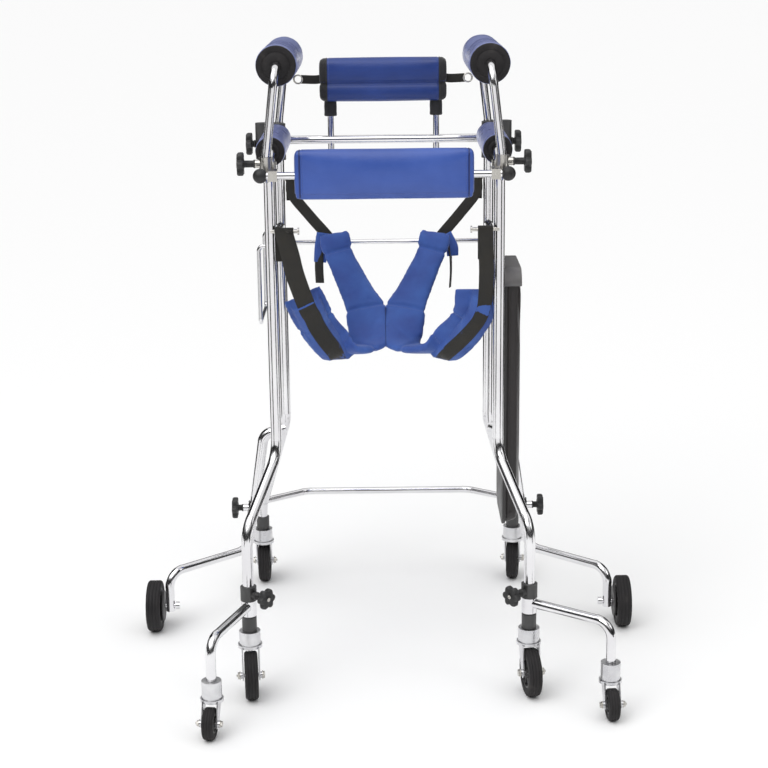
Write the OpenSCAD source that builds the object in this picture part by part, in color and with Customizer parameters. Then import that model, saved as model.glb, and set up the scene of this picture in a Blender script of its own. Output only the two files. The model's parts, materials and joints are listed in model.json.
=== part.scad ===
// Rehabilitation walking frame on swivel casters, with underarm rests and a saddle sling.
// X is across the walker, +Y is the way the user walks, +Z is up and the floor is z = 0.
// Lengths are in millimetres. "Rear" is the open side, where the user steps in.

/* [Frame] */
// Half the distance between the left and right posts
post_x = 222; // [200:1:240]
// Half the distance between the rear and front posts
post_y = 170; // [160:1:190]
// Distance of each rear foot from the middle, sideways and back
rear_foot = [276, 308]; // [260:1:320]
// Distance of each front foot from the middle, sideways and forward
front_foot = [289, 296]; // [270:1:320]
// Height of the arm rail's centre line
arm_z = 1055; // [1040:1:1070]
// Outer radius of the frame tube
tube_r = 11; // [10.5:0.5:12]
// Wall thickness of every frame tube
tube_wall = 1.5; // [1.2:0.1:2]
// Height at which the rear legs start to splay
rear_bend_z = 455; // [440:1:480]
// Height at which the front legs start to splay
front_bend_z = 430; // [410:1:440]
// Height of the side rails and of the seat hinge
rail_z = 862; // [850:1:880]

/* [Underarm rests] */
// Height of the roller's centre line
roller_z = 1222; // [1200:1:1240]
// Radius of the underarm roller
roller_r = 40; // [34:1:42]
// Radius of the underarm tube
underarm_r = 8.5; // [8:0.5:9]
// Radius of the armrest roll
armrest_r = 30; // [26:1:32]

/* [Pads] */
// Width, depth and height of the back pad
back_pad = [342, 44, 106]; // [30:1:360]
// Width, depth and height of the chest pad
chest_pad = [268, 54, 97]; // [40:1:300]
// Thickness of the sling's padded belts
belt_t = 22; // [16:1:26]

/* [Seat board] */
// Thickness, depth and length of the seat board
board = [37, 190, 544]; // [25:1:580]

/* [Wheels] */
// Radius of the four main caster wheels
main_wheel_r = 48; // [44:1:50]
// Width of the main caster wheels
main_wheel_w = 26; // [22:1:28]
// Radius of the two outrigger wheels
small_wheel_r = 31; // [28:1:33]
// Width of the outrigger wheels
small_wheel_w = 22; // [18:1:24]
// Radius of the two side wheels
side_wheel_r = 55; // [50:1:58]
// Width of the side wheels
side_wheel_w = 30; // [26:1:32]

/* [Outriggers] */
// Distance from the leg to the outrigger's caster
outrigger_reach = 185; // [175:1:195]
// How far the left outrigger is swung out from straight back
left_swing = 19; // [5:1:80]
// How far the right outrigger is swung out from straight back
right_swing = 53; // [5:1:80]

/* [Hidden] */
$fn = 48;
GAP = 0.3;
BEND_LAP = 0.6;
BEND_SWELL = 0.25;
BORE_SQUEEZE = 0.3;
FIT = 0.05;
ORIGIN_Y = 83.37;

REAR = -1;
FRONT = 1;

BEND_R = 45;
LEG_BEND_R = 60;
REAR_FOOT_Z = 341;
FRONT_FOOT_Z = 190;
LEG_BOTTOM_Z = 141;

ROLLER_X = 204.5;
LEAN = 21.5 / 180;
UNDERARM_Y = post_y + 22;
CLAMP_Z = 1041;
UNDERARM_BEND_R = 38;
UNDERARM_BOTTOM_Z = 1006;

CROSSBAR_R = 9;
FRONT_BAR_Z = 1045;
MIDDLE_ROD_R = 5;
MIDDLE_ROD_Z = 826;
LOWER_BAR_R = 7.5;
REAR_BAR_R = 7;
REAR_BAR_Y = -226;
REAR_BAR_Z = 1022;
REAR_BAR_X = 233;
BALL_R = 14;

CHEST_POST_X = 111;
CHEST_POST_R = 6.5;
CHEST_Z = 1122;

COLLAR_Z = 199;
COLLAR_H = 28;
SLEEVE_Z = 167;
OUTRIGGER_R = 9.5;
OUTRIGGER_Z = 187;
OUTRIGGER_END_Z = 108;
OUTRIGGER_BEND_R = 32;

HOLDER_TOP = [272, post_y, 398];
HOLDER_END = [300, post_y, 215];
HOLDER_DIR = (HOLDER_END - HOLDER_TOP) / norm(HOLDER_END - HOLDER_TOP);
SIDE_WHEEL = [508, 24, side_wheel_r];
SIDE_ARM_X = 475;
SIDE_ARM_Z = 130;
SIDE_ARM_R = 9.5;

MAIN_TRAIL = 22;
SMALL_TRAIL = 26;
STEM_R = 5;

SLING_FRONT = [post_x - 14, post_y, 962];
SLING_REAR = [196, -post_y - 8, 908];

// ---------------------------------------------------------------- helpers

function unit(v) = v / norm(v);

// Any unit vector square to v
function square_to(v) = unit(cross(v, abs(v[2]) > 0.6 ? [1, 0, 0] : [0, 0, 1]));

function columns(x, y, z, at) = [
    [x[0], y[0], z[0], at[0]],
    [x[1], y[1], z[1], at[1]],
    [x[2], y[2], z[2], at[2]],
    [0, 0, 0, 1]
];

// Puts its children at a point, with their +Z along a direction
module along(at, direction) {
    z = unit(direction);
    x = square_to(z);
    multmatrix(columns(x, cross(z, x), z, at)) children();
}

module rod(from, to, r) {
    along(from, to - from) cylinder(h = norm(to - from), r = r);
}

// Length that a bend at point i takes from each straight beside it
function bend_reach(points, i, bend_r) =
    (i <= 0 || i >= len(points) - 1) ? 0 :
    bend_r * tan(acos(unit(points[i] - points[i - 1]) * unit(points[i + 1] - points[i])) / 2);

// A solid bar that follows the points, with a round bend at each inner one. Each straight
// runs a little into the bend, whose own radius differs by swell, so that they join as one.
module bent_bar(points, r, bend_r, swell = BEND_SWELL) {
    last = len(points) - 1;
    for (i = [0 : last - 1]) {
        direction = unit(points[i + 1] - points[i]);
        first_lap = i > 0 ? BEND_LAP : 0;
        last_lap = i < last - 1 ? BEND_LAP : 0;
        rod(points[i] + direction * (bend_reach(points, i, bend_r) - first_lap),
            points[i + 1] - direction * (bend_reach(points, i + 1, bend_r) - last_lap), r);
    }
    for (i = [1 : 1 : last - 1]) {
        into = unit(points[i] - points[i - 1]);
        out = unit(points[i + 1] - points[i]);
        inward = unit(out - into * (into * out));
        start = points[i] - into * bend_reach(points, i, bend_r);
        multmatrix(columns(-inward, into, cross(-inward, into), start + inward * bend_r))
            rotate_extrude(angle = acos(into * out)) translate([bend_r, 0])
                circle(r = r + swell);
    }
}

// The same bar as an open tube, whose bore narrows in the bends
module bent_tube(points, r, bend_r, wall = tube_wall) {
    difference() {
        bent_bar(points, r, bend_r);
        bent_bar(points, r - wall, bend_r, -BORE_SQUEEZE);
    }
}

module right_side() { translate([0, ORIGIN_Y, 0]) children(); }
module left_side() { translate([0, ORIGIN_Y, 0]) mirror([1, 0, 0]) children(); }
module both_sides() { right_side() children(); left_side() children(); }

// ---------------------------------------------------------------- frame

// Each rear leg is one tube with the arm rail, which meets the front leg's top end
RAIL_END = [post_x, post_y - BEND_R - 1, arm_z];
REAR_LEG = [RAIL_END, [post_x, -post_y, arm_z], [post_x, -post_y, rear_bend_z],
    [rear_foot[0], -rear_foot[1], REAR_FOOT_Z], [rear_foot[0], -rear_foot[1], LEG_BOTTOM_Z]];
FRONT_LEG = [RAIL_END, [post_x, post_y, arm_z], [post_x, post_y, front_bend_z],
    [front_foot[0], front_foot[1], FRONT_FOOT_Z], [front_foot[0], front_foot[1], LEG_BOTTOM_Z]];

// Tight bends at the arm rail and wide ones lower down, on one run of tube
module leg_solid(points, r, swell = BEND_SWELL) {
    middle = (points[1] + points[2]) / 2;
    bent_bar([points[0], points[1], middle], r, BEND_R, swell);
    bent_bar([middle, points[2], points[3], points[4]], r, LEG_BEND_R, swell);
}

module leg(points) {
    color("silver") difference() {
        leg_solid(points, tube_r);
        leg_solid(points, tube_r - tube_wall, -BORE_SQUEEZE);
    }
}

module side_rail() {
    color("silver") difference() {
        rod([post_x, -post_y, rail_z], [post_x, post_y, rail_z], 9.5);
        rod([post_x, -post_y - 1, rail_z], [post_x, post_y + 1, rail_z], 8);
        for (y = [-post_y, post_y])
            translate([post_x, y, rail_z - 20]) cylinder(h = 40, r = tube_r);
    }
}

module crossbar(y, z, r, wall) {
    color("silver") difference() {
        rod([-post_x, y, z], [post_x, y, z], r);
        rod([-post_x - 1, y, z], [post_x + 1, y, z], r - wall);
        for (side = [-1, 1])
            translate([side * post_x, y, z - 20]) cylinder(h = 40, r = tube_r);
    }
}

module front_crossbar() {
    color("silver") difference() {
        rod([-post_x, post_y, FRONT_BAR_Z], [post_x, post_y, FRONT_BAR_Z], CROSSBAR_R);
        for (side = [-1, 1]) {
            mirror([side > 0 ? 0 : 1, 0, 0]) leg_solid(FRONT_LEG, tube_r);
            translate([side * CHEST_POST_X, post_y, FRONT_BAR_Z - 20])
                cylinder(h = 40, r = CHEST_POST_R + FIT);
        }
    }
}

// Bowed forward, clear of the user's feet, and welded to the front legs
LOWER_BAR = [[-282, 290, 204], [-190, 365, 201], [190, 365, 201], [282, 290, 204]];

module lower_crossbar() {
    color("silver") difference() {
        bent_bar(LOWER_BAR, LOWER_BAR_R, 40);
        for (side = [0, 1]) mirror([side, 0, 0]) leg_solid(FRONT_LEG, tube_r);
    }
}

module rear_crossbar() {
    color("silver") rod([-REAR_BAR_X, REAR_BAR_Y, REAR_BAR_Z], [REAR_BAR_X, REAR_BAR_Y, REAR_BAR_Z],
        REAR_BAR_R);
}

module bar_end_balls() {
    color("black") for (side = [-1, 1])
        difference() {
            translate([side * (REAR_BAR_X + 2), REAR_BAR_Y, REAR_BAR_Z]) sphere(r = BALL_R);
            rod([-REAR_BAR_X, REAR_BAR_Y, REAR_BAR_Z], [REAR_BAR_X, REAR_BAR_Y, REAR_BAR_Z],
                REAR_BAR_R);
        }
}

// Where the underarm tube's centre line crosses a height
function underarm_at(z, y) = [ROLLER_X + LEAN * (roller_z - z), y, z];

module underarm_bore(y, extra) {
    rod(underarm_at(CLAMP_Z - 60, y), underarm_at(CLAMP_Z + 60, y), underarm_r + extra);
}

// Holds the rear post, the underarm tube and the rear crossbar
module rear_clamp() {
    color("silver") difference() {
        union() {
            translate([post_x, -post_y, 1012]) cylinder(h = 30, r = 15);
            translate([underarm_at(CLAMP_Z, 0)[0], -UNDERARM_Y, 1012]) cylinder(h = 42, r = 12.5);
            translate([post_x - 11, -UNDERARM_Y - 2, 1012]) cube([26, 22, 30]);
            translate([post_x - 19, REAR_BAR_Y - 9, 1012]) cube([17, 38, 20]);
            rod([post_x + 8, -UNDERARM_Y, CLAMP_Z], [post_x + 24, -UNDERARM_Y, CLAMP_Z], 8);
        }
        leg_solid(REAR_LEG, tube_r);
        underarm_bore(-UNDERARM_Y, FIT);
        rod([-REAR_BAR_X, REAR_BAR_Y, REAR_BAR_Z], [REAR_BAR_X, REAR_BAR_Y, REAR_BAR_Z], REAR_BAR_R);
        rod([post_x + 13, -UNDERARM_Y, CLAMP_Z], [post_x + 40, -UNDERARM_Y, CLAMP_Z], 4 + FIT);
    }
}

// A tall moulded block round the front post and the underarm tube
FRONT_CLAMP_Z = 1004;
FRONT_CLAMP_H = 76;
FRONT_KNOB_AT = [post_x + 50, post_y + 18, 1036];

module front_clamp() {
    color([0.1, 0.1, 0.1]) difference() {
        translate([0, 0, FRONT_CLAMP_Z]) {
            translate([post_x, post_y, 0]) cylinder(h = FRONT_CLAMP_H, r = 15);
            translate([underarm_at(CLAMP_Z, 0)[0], UNDERARM_Y, 0])
                cylinder(h = FRONT_CLAMP_H, r = 14);
            translate([post_x + 2, post_y + 4, 0]) cube([34, 28, FRONT_CLAMP_H]);
            translate([post_x + 36, post_y + 18, 0]) cylinder(h = FRONT_CLAMP_H, r = 14);
        }
        leg_solid(FRONT_LEG, tube_r);
        underarm_bore(UNDERARM_Y, FIT);
        rod([-post_x, post_y, FRONT_BAR_Z], [post_x, post_y, FRONT_BAR_Z], CROSSBAR_R);
        rod(FRONT_KNOB_AT - [39, 0, 0], FRONT_KNOB_AT + [10, 0, 0], 4 + FIT);
    }
}

// Fixed to the rear leg; its knob locks the outrigger's sleeve under it
KNOB_TURN = 40;
OUTRIGGER_KNOB_DIR = [-cos(KNOB_TURN), -sin(KNOB_TURN), 0];
OUTRIGGER_KNOB_Z = 212;

module lock_collar() {
    color([0.1, 0.1, 0.1]) difference() {
        union() {
            translate([rear_foot[0], -rear_foot[1], COLLAR_Z]) cylinder(h = COLLAR_H, r = 16);
            rod([rear_foot[0], -rear_foot[1], OUTRIGGER_KNOB_Z],
                [rear_foot[0], -rear_foot[1], OUTRIGGER_KNOB_Z] + OUTRIGGER_KNOB_DIR * 22, 8);
        }
        translate([rear_foot[0], -rear_foot[1], COLLAR_Z - 1]) cylinder(h = COLLAR_H - 5, r = 13.3);
        translate([rear_foot[0], -rear_foot[1], COLLAR_Z - 1]) cylinder(h = COLLAR_H + 2, r = tube_r);
        rod([rear_foot[0], -rear_foot[1], OUTRIGGER_KNOB_Z],
            [rear_foot[0], -rear_foot[1], OUTRIGGER_KNOB_Z] + OUTRIGGER_KNOB_DIR * 30, 4 + FIT);
    }
}

// Plastic bush in the foot of each leg; the caster's stem turns in it
module caster_bush() {
    color([0.1, 0.1, 0.1]) rotate_extrude() difference() {
        union() {
            translate([0, 135]) square([14.5, 29]);
            translate([0, 164]) square([tube_r - tube_wall, 8]);
        }
        translate([0, 130]) square([STEM_R + FIT, 60]);
        translate([tube_r - tube_wall, LEG_BOTTOM_Z]) square([tube_wall, 40]);
    }
}

module caster_bushes() {
    for (end = [REAR, FRONT]) at_foot(end, 0) caster_bush();
}

// Bent tube welded to the front leg; the side arm slides in its lower end
module arm_holder() {
    color("silver") difference() {
        union() {
            bent_bar([[post_x, post_y, 412], HOLDER_TOP, HOLDER_END], 11.5, 26);
            along(HOLDER_END - HOLDER_DIR * 26, HOLDER_DIR) cylinder(h = 26, r = 14.5);
            rod(SIDE_KNOB_AT, SIDE_KNOB_AT + [24, 0, 0], 8);
        }
        rod(HOLDER_TOP + HOLDER_DIR * 26, HOLDER_END + HOLDER_DIR, SIDE_ARM_R + FIT);
        rod(SIDE_KNOB_AT + [4, 0, 0], SIDE_KNOB_AT + [40, 0, 0], 4 + FIT);
        leg_solid(FRONT_LEG, tube_r);
    }
}

SIDE_KNOB_AT = HOLDER_END - HOLDER_DIR * 13;

// ---------------------------------------------------------------- pads on the frame

// A foam roll round a rail, with slightly domed end caps
module roll(x, z, r, core_r, half_length) {
    cap = 6;
    translate([x, 0, z]) rotate([90, 0, 0]) rotate_extrude() difference() {
        union() {
            translate([0, -half_length]) square([r, 2 * half_length]);
            translate([0, -half_length - cap]) square([r - 7, 2 * (half_length + cap)]);
        }
        translate([0, -half_length - 20]) square([core_r, 2 * half_length + 40]);
    }
}

module armrest_pad() {
    color([0.2, 0.3, 0.6]) roll(post_x, arm_z, armrest_r, tube_r, post_y - BEND_R - 8);
}

module rounded_box(size, r) {
    hull() for (x = [-1, 1], y = [-1, 1], z = [-1, 1])
        translate([x * (size[0] / 2 - r), y * (size[1] / 2 - r), z * (size[2] / 2 - r)])
            sphere(r = r, $fn = 20);
}

module back_pad() {
    color([0.23, 0.33, 0.65]) difference() {
        translate([0, REAR_BAR_Y, REAR_BAR_Z + 2]) rounded_box(back_pad, 10);
        rod([-200, REAR_BAR_Y, REAR_BAR_Z], [200, REAR_BAR_Y, REAR_BAR_Z], REAR_BAR_R + GAP);
    }
}

// ---------------------------------------------------------------- saddle sling

// Steel pegs on the inner side of each post, which the webbing hangs from
HOOK_R = 4;
HOOK_REACH = 27;

module sling_hook(post, eye) {
    color("silver") {
        difference() {
            rod([post[0], eye[1], eye[2]], eye + [-HOOK_REACH, 0, 0], HOOK_R);
            translate([post[0], post[1], eye[2] - 30]) cylinder(h = 60, r = tube_r);
        }
        along(eye + [-HOOK_REACH, 0, 0], [-1, 0, 0]) cylinder(h = 3, r = 7);
    }
}

module sling_hooks() {
    sling_hook([post_x, post_y], SLING_FRONT);
    sling_hook([post_x, -post_y], SLING_REAR);
}

// A flat band through the stations, each [centre, half width vector]
module band(stations, thickness) {
    for (i = [0 : len(stations) - 2])
        hull() for (j = [i, i + 1], side = [-1, 1])
            translate(stations[j][0] + stations[j][1] * side) sphere(r = thickness / 2, $fn = 8);
}

// Each belt from its front end, through the middle of the saddle, to its rear end. The left
// one is given as if it were on the right. Its rear end hangs lower and slants.
BELT_FRONT = [
    [[107, 104, 857], [29, 0, 15]],
    [[99, 92, 820], [32, -2, 15]],
    [[80, 74, 781], [35, -4, 15]],
    [[60, 52, 743], [37, -5, 12]],
    [[45, 28, 710], [37, -4, 8]],
    [[37, 0, 678], [34, 0, 0]],
    [[38, -30, 655], [32, 10, -3]]
];
RIGHT_BELT = concat(BELT_FRONT, [
    [[56, -54, 643], [24, 22, -5]],
    [[94, -74, 647], [14, 28, -10]],
    [[113, -84, 655], [17, 10, -24]],
    [[133, -94, 668], [18, -4, -28]],
    [[158, -112, 697], [26, -6, -19]],
    [[176, -128, 737], [34, -2, -7]],
    [[178, -134, 782], [35, 0, 2]]
]);
LEFT_BELT = concat(BELT_FRONT, [
    [[52, -54, 643], [22, 24, -5]],
    [[80, -68, 646], [14, 28, -10]],
    [[96, -78, 655], [17, 10, -24]],
    [[113, -90, 670], [18, -4, -28]],
    [[133, -108, 700], [25, -6, -20]],
    [[151, -122, 738], [30, -4, -16]],
    [[167, -134, 776], [30, 0, -18]]
]);

module sling_pad() {
    color([0.22, 0.35, 0.68]) {
        band(RIGHT_BELT, belt_t);
        mirror([1, 0, 0]) band(LEFT_BELT, belt_t);
    }
}

FRONT_STRAP = [
    [SLING_FRONT + [-12, 0, 7], [12, 0, 0]],
    [[195, 157, 932], [13, 0, 8]],
    [[159, 138, 889], [13, 0, 8]],
    [[124, 114, 853], [13, 0, 8]]
];
RIGHT_REAR_STRAP = [
    [SLING_REAR + [-1, -8, 7], [15, 0, 0]],
    [[196, -188, 859], [15, 0, 0]],
    [[193, -178, 797], [15, 0, 0]],
    [[190, -158, 752], [15, 0, -3]],
    [[178, -140, 700], [13, -3, -8]],
    [[150, -122, 662], [8, -2, -13]],
    [[112, -100, 634], [6, 0, -14]]
];
LEFT_REAR_STRAP = [
    [SLING_REAR + [-1, -8, 7], [18, 0, 0]],
    [[184, -187, 863], [18, 0, -2]],
    [[171, -174, 801], [17, 0, -6]],
    [[153, -154, 744], [16, 0, -9]],
    [[140, -136, 700], [14, -3, -12]],
    [[118, -118, 662], [10, -2, -14]],
    [[88, -94, 632], [8, 0, -15]]
];

module sling_strap(rear_strap, belt) {
    difference() {
        union() {
            band(FRONT_STRAP, 4);
            band(rear_strap, 4);
        }
        band(belt, belt_t + 0.6);
        for (eye = [SLING_FRONT, SLING_REAR])
            rod(eye + [-32, 0, 0], eye + [30, 0, 0], HOOK_R + GAP);
    }
}

module sling_straps() {
    color([0.15, 0.14, 0.13]) {
        sling_strap(RIGHT_REAR_STRAP, RIGHT_BELT);
        mirror([1, 0, 0]) sling_strap(LEFT_REAR_STRAP, LEFT_BELT);
    }
}

// ---------------------------------------------------------------- underarm rests

module underarm_tube() {
    top = underarm_at(roller_z, 0);
    low = underarm_at(UNDERARM_BOTTOM_Z, 0);
    color("silver") bent_tube([low + [0, -UNDERARM_Y, 0], top + [0, -UNDERARM_Y, 0],
        top + [0, UNDERARM_Y, 0], low + [0, UNDERARM_Y, 0]], underarm_r, UNDERARM_BEND_R, 1.2);
}

module underarm_pad() {
    color([0.2, 0.3, 0.6])
        roll(ROLLER_X, roller_z, roller_r, underarm_r, UNDERARM_Y - UNDERARM_BEND_R - 7);
}

// ---------------------------------------------------------------- chest pad

module chest_posts() {
    color("silver") for (side = [-1, 1])
        translate([side * CHEST_POST_X, post_y, 1016]) cylinder(h = 150, r = CHEST_POST_R);
}

module chest_pad() {
    color([0.13, 0.22, 0.5]) difference() {
        translate([0, post_y - 6, CHEST_Z + chest_pad[2] / 2]) rounded_box(chest_pad, 13);
        for (side = [-1, 1])
            translate([side * CHEST_POST_X, post_y, 1000]) cylinder(h = 167, r = CHEST_POST_R);
    }
}

// Webbing from each end of the pad, with a ring that clips to the underarm rest
TETHER_Z = 1172;
TETHER_LENGTH = 36;

module chest_tether() {
    end = chest_pad[0] / 2;
    y = post_y - 6;
    color([0.12, 0.12, 0.12]) {
        translate([end + GAP, y - 1.5, TETHER_Z - 9]) cube([TETHER_LENGTH, 3, 18]);
        translate([end + TETHER_LENGTH + 8, y - 1.5, TETHER_Z]) rotate([-90, 0, 0]) difference() {
            cylinder(h = 3, r = 10);
            translate([0, 0, -1]) cylinder(h = 5, r = 6.5);
        }
    }
}

// ---------------------------------------------------------------- seat board and its rest

BOARD_X = 236;
BOARD_TOP = 816;
BOARD_Y = -20;

module seat_board() {
    corner = 34;
    color([0.17, 0.15, 0.15])
        translate([BOARD_X, BOARD_Y, BOARD_TOP - board[2] / 2]) rotate([0, 90, 0])
            linear_extrude(board[0]) union() {
                square([board[2] - 2 * corner, board[1]], center = true);
                square([board[2], board[1] - 2 * corner], center = true);
                for (x = [-1, 1], y = [-1, 1])
                    translate([x * (board[2] / 2 - corner), y * (board[1] / 2 - corner)])
                        circle(r = corner);
            }
}

// Straps that turn on the right side rail and carry the board
module seat_hinges() {
    color([0.2, 0.2, 0.2]) for (y = [BOARD_Y - 60, BOARD_Y + 60])
        difference() {
            union() {
                translate([post_x, y - 12, rail_z]) rotate([-90, 0, 0]) cylinder(h = 24, r = 13);
                translate([post_x, y - 12, rail_z - 13]) cube([BOARD_X - post_x, 24, 7]);
                translate([BOARD_X - 4, y - 12, rail_z - 95]) cube([4, 24, 95 - 6]);
            }
            translate([post_x, y - 13, rail_z]) rotate([-90, 0, 0]) cylinder(h = 26, r = 9.5 + FIT);
        }
}

// Wire bail that hangs from the left side rail
REST_LENGTH = 150;

module seat_rest() {
    out = post_x + 28;
    color("silver") difference() {
        union() {
            bent_bar([[post_x + 11, -112, rail_z + 6], [out, -112, rail_z + 6],
                [out, -112, rail_z - REST_LENGTH], [out, 58, rail_z - REST_LENGTH],
                [out, 58, rail_z + 6], [post_x + 11, 58, rail_z + 6]], 4, 10);
            for (y = [-112, 58])
                translate([post_x, y - 10, rail_z]) rotate([-90, 0, 0]) cylinder(h = 20, r = 14);
        }
        for (y = [-112, 58])
            translate([post_x, y - 11, rail_z]) rotate([-90, 0, 0]) cylinder(h = 22, r = 9.5 + FIT);
    }
}

// ---------------------------------------------------------------- outriggers

module outrigger_arm(swing) {
    end = outrigger_reach;
    color("silver") translate([rear_foot[0], -rear_foot[1], 0]) rotate([0, 0, swing]) difference() {
        union() {
            translate([0, 0, SLEEVE_Z]) cylinder(h = COLLAR_Z - SLEEVE_Z - 1, r = 15);
            translate([0, 0, SLEEVE_Z]) cylinder(h = COLLAR_Z - SLEEVE_Z + 20, r = 13);
            bent_bar([[0, 0, OUTRIGGER_Z], [0, -end, OUTRIGGER_Z], [0, -end, OUTRIGGER_END_Z]],
                OUTRIGGER_R, OUTRIGGER_BEND_R);
        }
        translate([0, 0, SLEEVE_Z - 1]) cylinder(h = 80, r = tube_r + FIT);
        translate([0, -end, OUTRIGGER_END_Z - 1]) cylinder(h = 36, r = STEM_R + FIT);
    }
}

// ---------------------------------------------------------------- casters and wheels

// Swivel head, two cheeks that rake back to the axle, and the axle itself
module caster_fork(stem_top, head_top, head_r, wheel_r, wheel_w, trail) {
    cheek = 2.5;
    inner = wheel_w / 2 + 2;
    crown_z = 2 * wheel_r + 5;
    color("silver") union() {
        translate([0, 0, head_top - 4]) cylinder(h = stem_top - head_top + 4, r = STEM_R);
        translate([0, 0, crown_z]) cylinder(h = head_top - crown_z, r = head_r);
        translate([0, 0, crown_z]) cylinder(h = 6, r = head_r + 3);
        for (side = [-1, 1]) {
            translate([side > 0 ? inner : -inner - cheek, 0, 0]) rotate([90, 0, 90])
                linear_extrude(cheek) polygon([[-head_r, crown_z + 4], [head_r * 0.7, crown_z + 4],
                    [9 - trail, wheel_r - 7], [-trail, wheel_r - 12], [-trail - 10, wheel_r - 4]]);
            rod([side * (inner + cheek - 0.5), -trail, wheel_r],
                [side * (inner + cheek + 4), -trail, wheel_r], 6.5);
        }
        rod([-inner - cheek, -trail, wheel_r], [inner + cheek, -trail, wheel_r], 4);
    }
}

module caster_wheel(wheel_r, wheel_w, trail) {
    color([0.12, 0.12, 0.12]) translate([0, -trail, wheel_r]) rotate([0, 90, 0])
        rotate_extrude() polygon([[4 + FIT, -wheel_w / 2 - 1], [11, -wheel_w / 2 - 1],
            [12, -wheel_w / 2 + 3], [wheel_r * 0.62, -wheel_w / 2 + 3], [wheel_r * 0.68, -wheel_w / 2],
            [wheel_r - 4, -wheel_w / 2], [wheel_r - 0.8, -wheel_w / 4], [wheel_r, 0],
            [wheel_r - 0.8, wheel_w / 4], [wheel_r - 4, wheel_w / 2], [wheel_r * 0.68, wheel_w / 2],
            [wheel_r * 0.62, wheel_w / 2 - 3], [12, wheel_w / 2 - 3], [11, wheel_w / 2 + 1],
            [4 + FIT, wheel_w / 2 + 1]]);
}

module main_fork() {
    caster_fork(175, 134.5, 21, main_wheel_r, main_wheel_w, MAIN_TRAIL);
}

module main_wheel() { caster_wheel(main_wheel_r, main_wheel_w, MAIN_TRAIL); }

module small_fork() {
    caster_fork(138, OUTRIGGER_END_Z - 0.5, 19, small_wheel_r, small_wheel_w, SMALL_TRAIL);
}

module small_wheel() { caster_wheel(small_wheel_r, small_wheel_w, SMALL_TRAIL); }

// How far each caster is turned at rest, from trailing straight back
REAR_LEFT_YAW = -6;
REAR_RIGHT_YAW = 9;
FRONT_LEFT_YAW = 180;
FRONT_RIGHT_YAW = 172;
SMALL_LEFT_YAW = 7;
SMALL_RIGHT_YAW = 4;

module at_foot(end, yaw) {
    foot = end == REAR ? rear_foot : front_foot;
    translate([foot[0], end * foot[1], 0]) rotate([0, 0, yaw]) children();
}

module at_outrigger(swing, yaw) {
    translate([rear_foot[0] + outrigger_reach * sin(swing),
        -rear_foot[1] - outrigger_reach * cos(swing), 0]) rotate([0, 0, yaw]) children();
}

// ---------------------------------------------------------------- side wheels

module side_arm() {
    start = HOLDER_TOP + HOLDER_DIR * 95;
    corner = HOLDER_END + HOLDER_DIR * ((HOLDER_END[2] - SIDE_ARM_Z) / -HOLDER_DIR[2]);
    drop_x = SIDE_ARM_X;
    color("silver") union() {
        bent_bar([start, corner, [drop_x, SIDE_WHEEL[1], SIDE_ARM_Z],
            [drop_x, SIDE_WHEEL[1], side_wheel_r - 12]], SIDE_ARM_R, 34);
        rod([drop_x - 18, SIDE_WHEEL[1], side_wheel_r],
            [SIDE_WHEEL[0] + side_wheel_w / 2 + 1, SIDE_WHEEL[1], side_wheel_r], 5);
        rod([drop_x - 20, SIDE_WHEEL[1], side_wheel_r], [drop_x - 12, SIDE_WHEEL[1], side_wheel_r], 8);
    }
}

module side_wheel() {
    w = side_wheel_w / 2;
    r = side_wheel_r;
    color([0.12, 0.12, 0.12]) translate(SIDE_WHEEL) rotate([0, 90, 0])
        rotate_extrude() polygon([[5 + FIT, -w - 5], [34, -w - 5], [34, -w - 2], [18, -w - 2],
            [18, -w + 5], [r * 0.66, -w + 5], [r * 0.72, -w], [r - 5, -w], [r - 1, -w / 2], [r, 0],
            [r - 1, w / 2], [r - 5, w], [r * 0.72, w], [r * 0.66, w - 5], [13, w - 5], [12, w],
            [5 + FIT, w]]);
}

// ---------------------------------------------------------------- star knobs

// A star-shaped head on a spindle; its pin screws into the clamp
module star_knob(at, direction, pin_length, spindle_length, head_r) {
    lobes = 6;
    color([0.08, 0.08, 0.08]) along(at, direction) {
        translate([0, 0, -pin_length]) cylinder(h = pin_length + 1, r = 4);
        cylinder(h = spindle_length, r = 7);
        translate([0, 0, spindle_length]) {
            cylinder(h = 13, r = head_r * 0.68);
            for (i = [0 : lobes - 1])
                rotate([0, 0, i * 360 / lobes]) translate([head_r * 0.7, 0, 0])
                    cylinder(h = 13, r = head_r * 0.3);
        }
    }
}

module knob_rear() {
    star_knob([post_x + 24 + GAP, -UNDERARM_Y, CLAMP_Z], [1, 0, 0], 11, 22, 24);
}

module knob_front() {
    star_knob(FRONT_KNOB_AT + [GAP, 0, 0], [1, 0, 0], 35, 7, 25);
}

module outrigger_knob() {
    star_knob([rear_foot[0], -rear_foot[1], OUTRIGGER_KNOB_Z] + OUTRIGGER_KNOB_DIR * (22 + GAP),
        OUTRIGGER_KNOB_DIR, 8, 20, 21);
}

module side_knob() {
    star_knob(SIDE_KNOB_AT + [24 + GAP, 0, 0], [1, 0, 0], 13, 12, 24);
}

// ---------------------------------------------------------------- the nodes

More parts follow.
